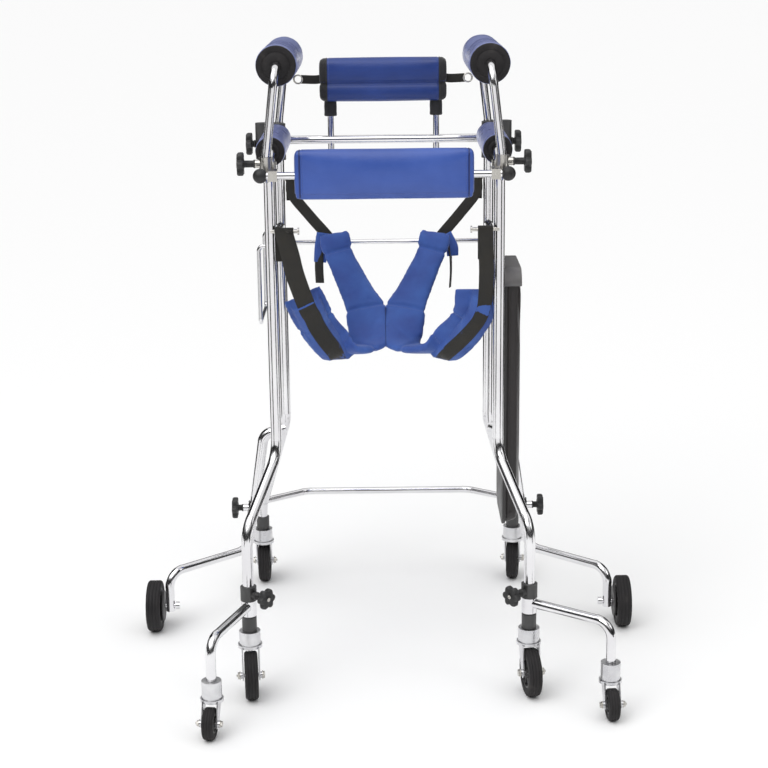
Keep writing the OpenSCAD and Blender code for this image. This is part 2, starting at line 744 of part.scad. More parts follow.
left_side() leg(REAR_LEG);  // rear_leg_left
right_side() leg(REAR_LEG);  // rear_leg_right
left_side() leg(FRONT_LEG);  // front_leg_left
right_side() leg(FRONT_LEG);  // front_leg_right
both_sides() side_rail();  // side_rails
right_side() front_crossbar();
right_side() crossbar(post_y, MIDDLE_ROD_Z, MIDDLE_ROD_R, 1.2);  // middle_crossbar
right_side() lower_crossbar();
right_side() rear_crossbar();
right_side() bar_end_balls();
both_sides() rear_clamp();  // rear_clamps
both_sides() front_clamp();  // front_clamps
both_sides() lock_collar();  // lock_collars
both_sides() caster_bushes();
left_side() arm_holder();  // arm_holder_left
right_side() arm_holder();  // arm_holder_right
left_side() armrest_pad();  // armrest_pad_left
right_side() armrest_pad();  // armrest_pad_right
right_side() back_pad();
both_sides() sling_hooks();
right_side() sling_straps();
right_side() sling_pad();
left_side() underarm_tube();  // underarm_tube_left
right_side() underarm_tube();  // underarm_tube_right
left_side() underarm_pad();  // underarm_pad_left
right_side() underarm_pad();  // underarm_pad_right
right_side() chest_posts();
right_side() chest_pad();
both_sides() chest_tether();  // chest_tethers
right_side() seat_board();
right_side() seat_hinges();
left_side() seat_rest();
left_side() outrigger_arm(left_swing);  // outrigger_arm_left
right_side() outrigger_arm(right_swing);  // outrigger_arm_right
left_side() at_outrigger(left_swing, SMALL_LEFT_YAW) small_fork();  // small_fork_left
right_side() at_outrigger(right_swing, SMALL_RIGHT_YAW) small_fork();  // small_fork_right
left_side() at_outrigger(left_swing, SMALL_LEFT_YAW) small_wheel();  // small_wheel_left
right_side() at_outrigger(right_swing, SMALL_RIGHT_YAW) small_wheel();  // small_wheel_right
left_side() side_arm();  // side_arm_left
right_side() side_arm();  // side_arm_right
left_side() side_wheel();  // side_wheel_left
right_side() side_wheel();  // side_wheel_right
left_side() at_foot(REAR, REAR_LEFT_YAW) main_fork();  // main_fork_rear_left
right_side() at_foot(REAR, REAR_RIGHT_YAW) main_fork();  // main_fork_rear_right
left_side() at_foot(FRONT, FRONT_LEFT_YAW) main_fork();  // main_fork_front_left
right_side() at_foot(FRONT, FRONT_RIGHT_YAW) main_fork();  // main_fork_front_right
left_side() at_foot(REAR, REAR_LEFT_YAW) main_wheel();  // main_wheel_rear_left
right_side() at_foot(REAR, REAR_RIGHT_YAW) main_wheel();  // main_wheel_rear_right
left_side() at_foot(FRONT, FRONT_LEFT_YAW) main_wheel();  // main_wheel_front_left
right_side() at_foot(FRONT, FRONT_RIGHT_YAW) main_wheel();  // main_wheel_front_right
left_side() knob_rear();  // knob_rear_left
right_side() knob_rear();  // knob_rear_right
left_side() knob_front();  // knob_front_left
right_side() knob_front();  // knob_front_right
left_side() outrigger_knob();  // outrigger_knob_left
right_side() outrigger_knob();  // outrigger_knob_right
left_side() side_knob();  // side_knob_left
right_side() side_knob();  // side_knob_right
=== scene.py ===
import json
import math

import bmesh
import bpy
import numpy as np
from mathutils import Matrix, Vector, noise

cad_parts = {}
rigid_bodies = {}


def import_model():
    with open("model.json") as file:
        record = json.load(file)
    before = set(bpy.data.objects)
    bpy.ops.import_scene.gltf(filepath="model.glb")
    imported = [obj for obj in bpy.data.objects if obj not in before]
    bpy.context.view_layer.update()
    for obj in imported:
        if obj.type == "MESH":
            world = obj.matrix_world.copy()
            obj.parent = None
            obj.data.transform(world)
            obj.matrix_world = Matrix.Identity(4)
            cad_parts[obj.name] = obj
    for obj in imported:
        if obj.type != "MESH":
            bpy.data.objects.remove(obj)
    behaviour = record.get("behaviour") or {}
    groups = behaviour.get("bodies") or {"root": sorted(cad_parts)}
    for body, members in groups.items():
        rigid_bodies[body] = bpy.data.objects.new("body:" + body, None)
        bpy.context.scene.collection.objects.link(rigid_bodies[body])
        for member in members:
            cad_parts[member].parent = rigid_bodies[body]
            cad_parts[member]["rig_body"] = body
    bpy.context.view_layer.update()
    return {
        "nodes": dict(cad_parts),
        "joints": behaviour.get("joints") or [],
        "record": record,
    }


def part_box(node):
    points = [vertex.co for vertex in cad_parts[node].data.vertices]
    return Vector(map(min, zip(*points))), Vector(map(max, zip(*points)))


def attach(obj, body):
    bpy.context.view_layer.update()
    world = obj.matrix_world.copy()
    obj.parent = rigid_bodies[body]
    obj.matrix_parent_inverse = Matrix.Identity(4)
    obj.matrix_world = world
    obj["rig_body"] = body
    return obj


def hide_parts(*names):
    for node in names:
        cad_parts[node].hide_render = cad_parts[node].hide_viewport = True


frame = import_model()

MM = 0.001
SIDES = {"left": -1, "right": 1}
JOINTS = {j["name"]: j for j in frame["joints"]}

# The middle between the four posts, where the side rails are centred
POST_MIDDLE = sum(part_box("side_rails"), Vector()) / 2


# ---------------------------------------------------------------- camera, lights and floor

CAMERA_AT = (-0.005, -3.3566, 1.450)
CAMERA_PITCH = 75.4
CAMERA_ROLL = -0.65
CAMERA_LENS = 79.7


def make_camera():
    data = bpy.data.cameras.new("camera")
    data.lens = CAMERA_LENS
    data.sensor_width = 36
    camera = bpy.data.objects.new("camera", data)
    bpy.context.scene.collection.objects.link(camera)
    tilt = Matrix.Rotation(math.radians(CAMERA_PITCH), 4, "X")
    roll = Matrix.Rotation(math.radians(CAMERA_ROLL), 4, "Z")
    camera.matrix_world = Matrix.Translation(CAMERA_AT) @ tilt @ roll
    bpy.context.scene.camera = camera


def make_light(name, at, towards, size, power):
    data = bpy.data.lights.new(name, "AREA")
    data.shape = "DISK"
    data.size = size
    data.energy = power
    light = bpy.data.objects.new(name, data)
    bpy.context.scene.collection.objects.link(light)
    light.location = at
    light.rotation_euler = (Vector(towards) - Vector(at)).to_track_quat("-Z", "Y").to_euler()


def make_sky():
    """A bright studio ceiling over a dimmer band of walls, which draws dark lines in the chrome."""
    world = bpy.data.worlds.new("studio")
    bpy.context.scene.world = world
    world.use_nodes = True
    tree = world.node_tree
    place = tree.nodes.new("ShaderNodeTexCoord")
    split = tree.nodes.new("ShaderNodeSeparateXYZ")
    tree.links.new(place.outputs["Generated"], split.inputs[0])
    ramp = tree.nodes.new("ShaderNodeValToRGB")
    levels = [(0.0, 0.10), (1.0, 0.95), (0.06, 0.04), (0.36, 0.05), (0.46, 0.45), (0.62, 0.90)]
    for i, (height, level) in enumerate(levels):
        stop = ramp.color_ramp.elements[i] if i < 2 else ramp.color_ramp.elements.new(height)
        stop.position = height
        stop.color = (level, level, level, 1)
    tree.links.new(split.outputs["Z"], ramp.inputs[0])
    background = tree.nodes["Background"]
    tree.links.new(ramp.outputs[0], background.inputs["Color"])
    background.inputs["Strength"].default_value = 1.0


def make_flag(name, x, y_from, y_to, height):
    """A dark card beside the set, which only reflections see, as photographers use for chrome."""
    verts = [(x, y_from, 0), (x, y_to, 0), (x, y_to, height), (x, y_from, height)]
    mesh = bpy.data.meshes.new(name)
    mesh.from_pydata(verts, [], [(0, 1, 2, 3)])
    flag = bpy.data.objects.new(name, mesh)
    bpy.context.scene.collection.objects.link(flag)
    paint = bpy.data.materials.new(name)
    paint.use_nodes = True
    shader = paint.node_tree.nodes["Principled BSDF"]
    shader.inputs["Base Color"].default_value = (0.012, 0.012, 0.014, 1)
    shader.inputs["Roughness"].default_value = 0.95
    shader.inputs["Specular IOR Level"].default_value = 0.0
    mesh.materials.append(paint)
    flag.visible_camera = False
    flag.visible_diffuse = False
    flag.visible_shadow = False


def make_sun(name, direction, strength, spread):
    data = bpy.data.lights.new(name, "SUN")
    data.energy = strength
    data.angle = math.radians(spread)
    sun = bpy.data.objects.new(name, data)
    bpy.context.scene.collection.objects.link(sun)
    sun.rotation_euler = Vector(direction).to_track_quat("-Z", "Y").to_euler()


def make_stage():
    bpy.context.scene.view_settings.view_transform = "Standard"
    make_sky()
    make_sun("overhead", (0.35, 0.45, -1.0), 1.15, 60)
    make_light("key", (-1.9, -2.4, 2.9), (0, 0, 0.8), 1.6, 14)
    make_light("fill", (2.4, -1.6, 2.0), (0, 0, 0.8), 1.2, 7)
    for side in (-1, 1):
        make_flag("flag_behind", side * 1.6, 0.25, 2.2, 2.6)
        make_flag("flag_ahead", side * 1.3, -1.75, -0.85, 2.6)
    bpy.ops.mesh.primitive_plane_add(size=600, location=(0, 0, 0))
    floor = bpy.context.object
    floor.name = "floor"
    paint = bpy.data.materials.new("floor_paint")
    paint.use_nodes = True
    shader = paint.node_tree.nodes["Principled BSDF"]
    shader.inputs["Base Color"].default_value = (0.95, 0.95, 0.95, 1)
    shader.inputs["Roughness"].default_value = 0.9
    shader.inputs["Specular IOR Level"].default_value = 0.05
    floor.data.materials.append(paint)


# ---------------------------------------------------------------- materials

class Finish:
    """One procedural material, with short calls for its nodes."""

    def __init__(self, name, **values):
        self.material = bpy.data.materials.new(name)
        self.material.use_nodes = True
        self.tree = self.material.node_tree
        self.shader = self.tree.nodes["Principled BSDF"]
        self.place = self.new("TexCoord").outputs["Object"]
        for socket, value in values.items():
            self.shader.inputs[socket.replace("_", " ")].default_value = value

    def new(self, kind, **settings):
        node = self.tree.nodes.new("ShaderNode" + kind)
        for key, value in settings.items():
            setattr(node, key, value)
        return node

    def join(self, source, target):
        if isinstance(source, bpy.types.NodeSocket):
            self.tree.links.new(source, target)
        else:
            target.default_value = source

    def noise(self, scale, detail=3.0, stretch=(1, 1, 1)):
        mapping = self.new("Mapping")
        mapping.inputs["Scale"].default_value = stretch
        self.join(self.place, mapping.inputs["Vector"])
        texture = self.new("TexNoise")
        texture.inputs["Scale"].default_value = scale
        texture.inputs["Detail"].default_value = detail
        self.join(mapping.outputs[0], texture.inputs["Vector"])
        return texture.outputs[0]

    def cells(self, scale):
        texture = self.new("TexVoronoi")
        texture.inputs["Scale"].default_value = scale
        self.join(self.place, texture.inputs["Vector"])
        return texture.outputs["Distance"]

    def maths(self, operation, a, b=0.0):
        node = self.new("Math", operation=operation)
        self.join(a, node.inputs[0])
        self.join(b, node.inputs[1])
        return node.outputs[0]

    def weave(self, pitch, place=None):
        """Threads that cross at every pitch, as a height from 0 to 1."""
        split = self.new("SeparateXYZ")
        self.join(place or self.place, split.inputs[0])
        turn = 2 * math.pi / pitch
        across = self.maths("ADD", split.outputs["X"], split.outputs["Y"])
        first = self.maths("SINE", self.maths("MULTIPLY", across, turn))
        slope = self.maths("SUBTRACT", split.outputs["Z"], split.outputs["Y"])
        second = self.maths("SINE", self.maths("MULTIPLY", slope, turn))
        return self.maths("MULTIPLY_ADD", self.maths("MULTIPLY", first, second), 0.5)

    def between(self, value, low, high, from_low=0.3, from_high=0.7):
        node = self.new("MapRange")
        node.inputs["From Min"].default_value = from_low
        node.inputs["From Max"].default_value = from_high
        node.inputs["To Min"].default_value = low
        node.inputs["To Max"].default_value = high
        self.join(value, node.inputs["Value"])
        return node.outputs[0]

    def colours(self, value, stops):
        node = self.new("ValToRGB")
        for i, (share, colour) in enumerate(stops):
            stop = node.color_ramp.elements[i] if i < 2 else node.color_ramp.elements.new(share)
            stop.position = share
            stop.color = (*colour, 1)
        self.join(value, node.inputs[0])
        return node.outputs[0]

    def edges(self, bright):
        """1 on convex edges and 0 elsewhere. Plastics use it for rubbed wear, cloth for a painted highlight
        on its ridges.
        """
        geometry = self.new("NewGeometry")
        return self.between(geometry.outputs["Pointiness"], 0.0, bright, 0.52, 0.6)

    def blend(self, factor, a, b):
        node = self.new("Mix", data_type="RGBA")
        self.join(factor, node.inputs["Factor"])
        for socket, value in (("A", a), ("B", b)):
            target = [s for s in node.inputs if s.name == socket and s.type == "RGBA"][0]
            self.join(value if isinstance(value, bpy.types.NodeSocket) else (*value, 1), target)
        return [s for s in node.outputs if s.type == "RGBA"][0]

    def bump(self, height, distance, strength=1.0, under=None):
        node = self.new("Bump")
        node.inputs["Distance"].default_value = distance
        node.inputs["Strength"].default_value = strength
        self.join(height, node.inputs["Height"])
        if under is not None:
            self.join(under, node.inputs["Normal"])
        return node.outputs[0]

    def use(self, colour=None, roughness=None, normal=None):
        if colour is not None:
            self.join(colour, self.shader.inputs["Base Color"])
        if roughness is not None:
            self.join(roughness, self.shader.inputs["Roughness"])
        if normal is not None:
            self.join(normal, self.shader.inputs["Normal"])
        return self.material


def chrome_finish():
    finish = Finish("chrome", Metallic=1.0)
    cloud = finish.noise(9, 4)
    drawn = finish.noise(240, 2, (1, 1, 0.06))
    colour = finish.colours(cloud, [(0.3, (0.74, 0.73, 0.75)), (0.7, (0.87, 0.87, 0.88))])
    streaks = finish.maths("ADD", cloud, finish.maths("MULTIPLY", drawn, 0.35))
    rough = finish.between(streaks, 0.07, 0.2, 0.4, 0.9)
    return finish.use(colour, rough, finish.bump(drawn, 0.00004, 0.5))


def plated_finish(name, dark, light, rough_low, rough_high):
    finish = Finish(name, Metallic=1.0)
    cloud = finish.noise(26, 5)
    grain = finish.noise(900, 2)
    colour = finish.colours(cloud, [(0.3, dark), (0.7, light)])
    return finish.use(colour, finish.between(cloud, rough_low, rough_high), finish.bump(grain, 0.00006, 0.5))


def plastic_finish(name, dark, light, rough=(0.38, 0.55)):
    """Moulded plastic with a fine spark grain and edges rubbed a little paler."""
    finish = Finish(name)
    finish.shader.inputs["Specular IOR Level"].default_value = 0.5
    cloud = finish.noise(40, 4)
    grain = finish.cells(1500)
    colour = finish.colours(cloud, [(0.3, dark), (0.7, light)])
    worn = tuple(0.35 * c + 0.11 for c in light)
    colour = finish.blend(finish.edges(0.5), colour, worn)
    return finish.use(colour, finish.between(cloud, *rough), finish.bump(grain, 0.00012, 0.6))


def rubber_finish(name="tyre_rubber"):
    finish = Finish(name)
    finish.shader.inputs["Specular IOR Level"].default_value = 0.35
    dust = finish.noise(34, 6)
    grain = finish.noise(700, 3)
    colour = finish.colours(dust, [(0.35, (0.012, 0.011, 0.012)), (0.62, (0.024, 0.022, 0.023)),
                              (0.8, (0.06, 0.056, 0.053))])
    return finish.use(colour, finish.between(dust, 0.55, 0.85), finish.bump(grain, 0.0002, 0.5))


def vinyl_finish(name, dark, light, rough=(0.32, 0.5)):
    """Coated cloth: small pebbled grain, soft creases and a little variation of colour."""
    finish = Finish(name, Coat_Weight=0.12, Coat_Roughness=0.35)
    cloud = finish.noise(11, 4)
    pebbles = finish.cells(520)
    creases = finish.noise(58, 3, (1, 1, 2.2))
    colour = finish.colours(cloud, [(0.3, dark), (0.7, light)])
    soft = finish.bump(creases, 0.0009, 0.5)
    return finish.use(colour, finish.between(cloud, *rough), finish.bump(pebbles, 0.00022, 0.6, soft))


def cloth_finish(name, dark, light, pitch=0.0011):
    """Woven nylon over padding: visible threads, soft folds and a painted highlight that makes the convex
    ridges paler.
    """
    finish = Finish(name, Sheen_Weight=0.25, Sheen_Roughness=0.45)
    cloud = finish.noise(16, 5)
    threads = finish.weave(pitch)
    folds = finish.noise(64, 3)
    colour = finish.colours(cloud, [(0.28, dark), (0.72, light)])
    # Painted highlight: the convex ridges get a brighter copy of the cloth's light colour, as if they caught
    # the lights.
    lit = tuple(min(1, 1.5 * c + 0.01) for c in light)
    colour = finish.blend(finish.edges(0.45), colour, lit)
    soft = finish.bump(folds, 0.0016, 0.5)
    return finish.use(colour, finish.between(cloud, 0.6, 0.8), finish.bump(threads, 0.00014, 0.7, soft))


def webbing_finish():
    """Ribbed polyester webbing: threads across the band and a fine rib along it."""
    finish = Finish("webbing", Sheen_Weight=0.15, Sheen_Roughness=0.5)
    band = finish.new("Attribute", attribute_name="band_place").outputs["Vector"]
    split = finish.new("SeparateXYZ")
    finish.join(band, split.inputs[0])
    ribs = finish.maths("SINE", finish.maths("MULTIPLY", split.outputs["X"], 2 * math.pi / 0.0016))
    rows = finish.maths("SINE", finish.maths("MULTIPLY", split.outputs["Y"], 2 * math.pi / 0.0012))
    height = finish.maths("ADD", ribs, finish.maths("MULTIPLY", rows, 0.6))
    cloud = finish.noise(30, 5)
    colour = finish.colours(cloud, [(0.3, (0.012, 0.011, 0.009)), (0.72, (0.03, 0.027, 0.022))])
    return finish.use(colour, finish.between(cloud, 0.7, 0.9), finish.bump(height, 0.00018, 0.7))


def make_finishes():
    return {
        "chrome": chrome_finish(),
        "plated": plated_finish("plated_steel", (0.52, 0.50, 0.46), (0.75, 0.73, 0.69), 0.2, 0.4),
        "zinc": plated_finish("zinc_steel", (0.55, 0.55, 0.57), (0.82, 0.82, 0.83), 0.22, 0.42),
        "black": plastic_finish("black_nylon", (0.008, 0.008, 0.008), (0.018, 0.018, 0.019)),
        "hub": plastic_finish("hub_plastic", (0.02, 0.019, 0.02), (0.045, 0.042, 0.043)),
        "bracket": plastic_finish("powder_coat", (0.012, 0.012, 0.013), (0.03, 0.03, 0.032),
                                  (0.3, 0.45)),
        "pan": plastic_finish("pan_plastic", (0.010, 0.009, 0.009), (0.022, 0.020, 0.020)),
        # Painted highlight: this pale grey, used for the seat's top cap, stands in for the sheen of the
        # lights on the board's top edge.
        "grey": plastic_finish("grey_sheen_plastic", (0.12, 0.115, 0.115), (0.19, 0.18, 0.18)),
        "rubber": rubber_finish(),
        "foam_cap": rubber_finish("foam_cap_rubber"),
        "roll": vinyl_finish("roll_vinyl", (0.19, 0.22, 0.46), (0.25, 0.29, 0.55), (0.22, 0.38)),
        "back": vinyl_finish("back_pad_vinyl", (0.030, 0.078, 0.34), (0.052, 0.115, 0.44)),
        "chest": vinyl_finish("chest_pad_vinyl", (0.007, 0.030, 0.17), (0.016, 0.052, 0.26)),
        "piping": vinyl_finish("piping_vinyl", (0.010, 0.022, 0.11), (0.02, 0.04, 0.18)),
        "panel": cloth_finish("black_panel_cloth", (0.010, 0.010, 0.011), (0.022, 0.022, 0.024)),
        "sling": cloth_finish("sling_nylon", (0.022, 0.064, 0.31), (0.055, 0.140, 0.47)),
        "seat": vinyl_finish("seat_vinyl", (0.010, 0.008, 0.008), (0.024, 0.019, 0.019)),
        "thread": cloth_finish("thread", (0.03, 0.05, 0.2), (0.06, 0.1, 0.32), 0.0004),
        "web": webbing_finish(),
    }


# Which finish each material slot of the record takes
SLOT_FINISH = {
    "chromed_tube": "chrome", "plated_steel": "plated", "zinc_fork": "zinc",
    "black_plastic": "black", "painted_bracket": "bracket", "wheel_rubber": "rubber",
    "roller_vinyl": "roll", "back_pad_vinyl": "back", "chest_pad_vinyl": "chest",
    "sling_fabric": "sling", "black_webbing": "web", "seat_vinyl": "seat",
}


def paint_frame():
    for part in frame["record"]["subparts"]:
        mesh = frame["nodes"][part["node"]].data
        mesh.materials.clear()
        mesh.materials.append(FINISH[SLOT_FINISH[part["material_slot"]]])


# ---------------------------------------------------------------- mesh helpers

def new_piece(name, verts, faces, finish, body, slot, replaces=(), smooth=True):
    mesh = bpy.data.meshes.new(name)
    mesh.from_pydata([tuple(v) for v in verts], [], faces)
    bm = bmesh.new()
    bm.from_mesh(mesh)
    bmesh.ops.recalc_face_normals(bm, faces=bm.faces)
    bm.to_mesh(mesh)
    bm.free()
    mesh.materials.append(FINISH[finish])
    if smooth:
        mesh.shade_smooth()
    piece = bpy.data.objects.new(name, mesh)
    bpy.context.scene.collection.objects.link(piece)
    return settle(piece, body, replaces)


def settle(piece, body, replaces=()):
    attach(piece, body)
    if replaces:
        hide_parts(*replaces)
    return piece


def axes_along(direction):
    """Three unit vectors, the last of which is the direction."""
    z = Vector(direction).normalized()
    x = z.cross(Vector((0, 0, 1)) if abs(z.z) < 0.9 else Vector((1, 0, 0))).normalized()
    return x, z.cross(x), z


def ring_faces(rings, count, closed=False, capped=False):
    """Quads between neighbouring rings of points, and a face over each end ring if capped."""
    faces = []
    for r in range(rings if closed else rings - 1):
        below, above = r * count, (r + 1) % rings * count
        for i in range(count):
            j = (i + 1) % count
            faces.append((below + i, below + j, above + j, above + i))
    if capped:
        faces.append(tuple(range(count))[::-1])
        faces.append(tuple((rings - 1) * count + i for i in range(count)))
    return faces


def turned(profile, at, direction, segments=64):
    """Verts and faces of a closed profile of (radius, distance along) turned about an axis."""
    x, y, z = axes_along(direction)
    at = Vector(at)
    verts = []
    for radius, along in profile:
        for i in range(segments):
            a = 2 * math.pi * i / segments
            verts.append(at + (x * math.cos(a) + y * math.sin(a)) * radius + z * along)
    return verts, ring_faces(len(profile), segments, closed=True)


def merged(*parts):
    """Several (verts, faces) as one."""
    verts, faces = [], []
    for more_verts, more_faces in parts:
        faces += [tuple(i + len(verts) for i in face) for face in more_faces]
        verts += list(more_verts)
    return verts, faces


def arc(centre, radius, start, end, steps=6):
    """Points of a profile's round corner, with angles in degrees."""
    return [(centre[0] + radius * math.cos(math.radians(start + (end - start) * i / steps)),
             centre[1] + radius * math.sin(math.radians(start + (end - start) * i / steps)))
            for i in range(steps + 1)]


def spline(points, steps):
    """A smooth line through the points, by Catmull and Rom's rule."""
    points = [Vector(p) for p in points]
    padded = [2 * points[0] - points[1], *points, 2 * points[-1] - points[-2]]
    line = []
    for i in range(1, len(padded) - 2):
        a, b, c, d = padded[i - 1:i + 3]
        for k in range(steps):
            t = k / steps
            line.append(0.5 * (2 * b + (c - a) * t + (2 * a - 5 * b + 4 * c - d) * t * t
                               + (3 * b - a - 3 * c + d) * t ** 3))
    return line + [points[-1]]


def tube(points, radius, sides=10, closed=False):
    """Verts and faces of a round cord along the points."""
    points = [Vector(p) for p in points]
    count = len(points)
    verts = []
    normal = None
    for i, p in enumerate(points):
        ahead = points[(i + 1) % count] if closed else points[min(i + 1, count - 1)]
        behind = points[i - 1] if closed else points[max(i - 1, 0)]
        along = (ahead - behind).normalized()
        normal = normal or axes_along(along)[0]
        normal = (normal - along * normal.dot(along)).normalized()
        side = along.cross(normal)
        for k in range(sides):
            a = 2 * math.pi * k / sides
            verts.append(p + (normal * math.cos(a) + side * math.sin(a)) * radius)
    return verts, ring_faces(count, sides, closed, not closed)


def rounded_slab(size, radius, steps=5):
    """Verts and faces of a block with all its edges rounded, centred on the origin."""
    bm = bmesh.new()
    bmesh.ops.create_cube(bm, size=1)
    bmesh.ops.scale(bm, vec=size, verts=bm.verts)
    bmesh.ops.bevel(bm, geom=bm.edges[:], offset=radius, segments=steps, affect="EDGES", profile=0.5)
    verts = [v.co.copy() for v in bm.verts]
    faces = [tuple(v.index for v in f.verts) for f in bm.faces]
    bm.free()
    return verts, faces


def placed(part, at, axes=None):
    """The part moved to a place, with its X, Y and Z laid along the given axes."""
    verts, faces = part
    x, y, z = axes or (Vector((1, 0, 0)), Vector((0, 1, 0)), Vector((0, 0, 1)))
    return [Vector(at) + x * v[0] + y * v[1] + z * v[2] for v in verts], faces


def hexagon(across, height, at, direction):
    """A nut or bolt head with its corners turned down."""
    r = across / math.sqrt(3)
    chamfer = 0.12 * height
    profile = [(0.0004, 0), (r, 0), (r, height - chamfer), (r * 0.88, height), (0.0004, height)]
    return turned(profile, at, direction, 6)


# ---------------------------------------------------------------- wheels and casters

def tyre_profile(r, w, seat):
    """Solid rubber: flat side walls, round shoulders and three fine grooves in the tread."""
    shoulder = min(6 * MM, w * 0.28)
    half = w / 2
    groove = 0.7 * MM
    side = arc((r - shoulder, half - shoulder), shoulder, 90, 18)
    left = [(seat, half - 2 * MM), (seat + 2 * MM, half - 0.4 * MM), (r * 0.8, half), *side]
    tread = []
    for centre in (0.24, 0.0, -0.24):
        at = centre * w
        tread += [(r - 0.3 * MM, at + groove), (r - 1.1 * MM, at + 0.4 * groove),
                  (r - 1.1 * MM, at - 0.4 * groove), (r - 0.3 * MM, at - groove)]
    right = [(radius, -along) for radius, along in reversed(left)]
    return left + tread + right


def hub_parts(at, axis, r, w, bore, ribs=6):
    """Hub with a recessed web, ribs on both faces and a raised boss round the bearing."""
    half = w / 2
    web = half * 0.35
    boss = bore + 5 * MM
    rim = [(r, half - 1.2 * MM), (r - 1 * MM, half), (r - 4 * MM, half), (r - 5.2 * MM, web)]
    middle = [(boss + 1.5 * MM, web), (boss, half + 0.2 * MM), (bore + 1 * MM, half + 0.8 * MM),
              (bore, half + 0.4 * MM)]
    outer = rim + middle
    profile = outer + [(radius, -along) for radius, along in reversed(outer)]
    parts = [turned(profile, at, axis, 48)]
    x, y, z = axes_along(axis)
    length = r - 5 * MM - boss
    for side in (-1, 1):
        for i in range(ribs):
            a = 2 * math.pi * (i + 0.25 * side) / ribs
            out = x * math.cos(a) + y * math.sin(a)
            across = z.cross(out)
            rib = rounded_slab((length + 2 * MM, 3 * MM, half - web), 0.9 * MM, 2)
            centre = Vector(at) + out * (boss + length / 2) + z * side * (web + (half - web) / 2 - 1 * MM)
            parts.append(placed(rib, centre, (out, across, z)))
    return merged(*parts)


def wheel(name, joint, node, width, seat_share=0.66, bore=5 * MM):
    joint = JOINTS[joint]
    low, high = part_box(node)
    radius = (high.z - low.z) / 2
    at, axis = Vector(joint["pos_m"]), Vector(joint["axis"])
    seat = radius * seat_share
    tyre = turned(tyre_profile(radius, width, seat - 1 * MM), at, axis, 96)
    new_piece(f"{name}_tyre", *tyre, "rubber", joint["child"], "wheel_rubber", [node])
    new_piece(f"{name}_hub", *hub_parts(at, axis, seat, width - 3 * MM, bore), "hub",
              joint["child"], "wheel_rubber")


def axle_bolts(name, roll_joint, half_length, across, body):
    """A flanged head on one end of the axle and a nut with the bolt's tip on the other."""
    joint = JOINTS[roll_joint]
    at, axis = Vector(joint["pos_m"]), Vector(joint["axis"]).normalized()
    washer = [(0.0004, 0), (across * 0.72, 0), (across * 0.72, 1.2 * MM), (0.0004, 1.2 * MM)]
    parts = []
    for side in (-1, 1):
        out = axis * side
        face = at + out * half_length
        parts.append(turned(washer, face, out, 32))
        parts.append(hexagon(across, 4.2 * MM, face + out * 1 * MM, out))
    tip = [(0.0004, 0), (2.6 * MM, 0), (2.6 * MM, 2 * MM), (2 * MM, 2.8 * MM), (0.0004, 2.8 * MM)]
    parts.append(turned(tip, at + axis * (half_length + 5 * MM), axis, 20))
    new_piece(name, *merged(*parts), "plated", body, "zinc_fork", smooth=False)


# Height of the top of each main fork's crown
CROWN_TOP = 134.5 * MM


def make_races():
    """The dark race and its pressed cover between each fork's crown and the foot above it."""
    for end in ("rear", "front"):
        for side in SIDES:
            joint = JOINTS[f"{end}_{side}_swivel"]
            at = Vector((joint["pos_m"][0], joint["pos_m"][1], CROWN_TOP))
            cover = [(5 * MM, -3.5 * MM), (11.5 * MM, -3.5 * MM), (12.2 * MM, -2.6 * MM),
                     (12.2 * MM, -1.4 * MM), (10.8 * MM, -0.4 * MM), (5 * MM, -0.4 * MM)]
            new_piece(f"race_{end}_{side}", *turned(cover, at, (0, 0, 1), 48), "black",
                      joint["child"], "zinc_fork")


def make_casters():
    for end in ("rear", "front"):
        for side in SIDES:
            name = f"{end}_{side}"
            wheel(name, f"{name}_roll", f"main_wheel_{name}", 26 * MM)
            axle_bolts(f"{name}_axle_nuts", f"{name}_roll", 21.5 * MM, 12 * MM, f"caster_{name}")
    for side in SIDES:
        wheel(f"small_{side}", f"{side}_small_roll", f"small_wheel_{side}", 22 * MM, 0.62, 4.6 * MM)
        axle_bolts(f"small_{side}_axle_nuts", f"{side}_small_roll", 19.5 * MM, 10 * MM,
                   f"small_caster_{side}")
        wheel(f"side_{side}", f"{side}_side_wheel_roll", f"side_wheel_{side}", 30 * MM, 0.7, 6 * MM)
        side_wheel_drum(side)


def side_wheel_drum(side):
    """The wide flange on the inner face of a side wheel, and the cap on its outer face."""
    joint = JOINTS[f"{side}_side_wheel_roll"]
    at = Vector(joint["pos_m"])
    inward = Vector((-SIDES[side], 0, 0))
    drum = [(6 * MM, 12 * MM), (18 * MM, 12 * MM), (19 * MM, 17 * MM), (32 * MM, 17.4 * MM),
            *arc((32 * MM, 18.8 * MM), 1.4 * MM, -90, 90, 4), (20 * MM, 20 * MM), (6 * MM, 20 * MM)]
    cap = [(0.4 * MM, 18.5 * MM), (5 * MM, 18.2 * MM), (9 * MM, 16.5 * MM), (10 * MM, 13 * MM),
           (0.4 * MM, 13 * MM)]
    parts = merged(turned(drum, at, inward, 56), turned(cap, at, -inward, 32))
    new_piece(f"side_{side}_drum", *parts, "hub", joint["child"], "wheel_rubber")


# ---------------------------------------------------------------- star knobs

KNOB_LOBES = 6


def star_ring(radius, depth, along, steps=72):
    """One ring of the star, whose lobes swell and dip by the depth."""
    ring = []
    for i in range(steps):
        a = 2 * math.pi * i / steps
        wave = 0.5 + 0.5 * math.cos(KNOB_LOBES * a)
        r = radius - depth * (1 - wave ** 0.7)
        ring.append((r * math.cos(a), r * math.sin(a), along))
    return ring


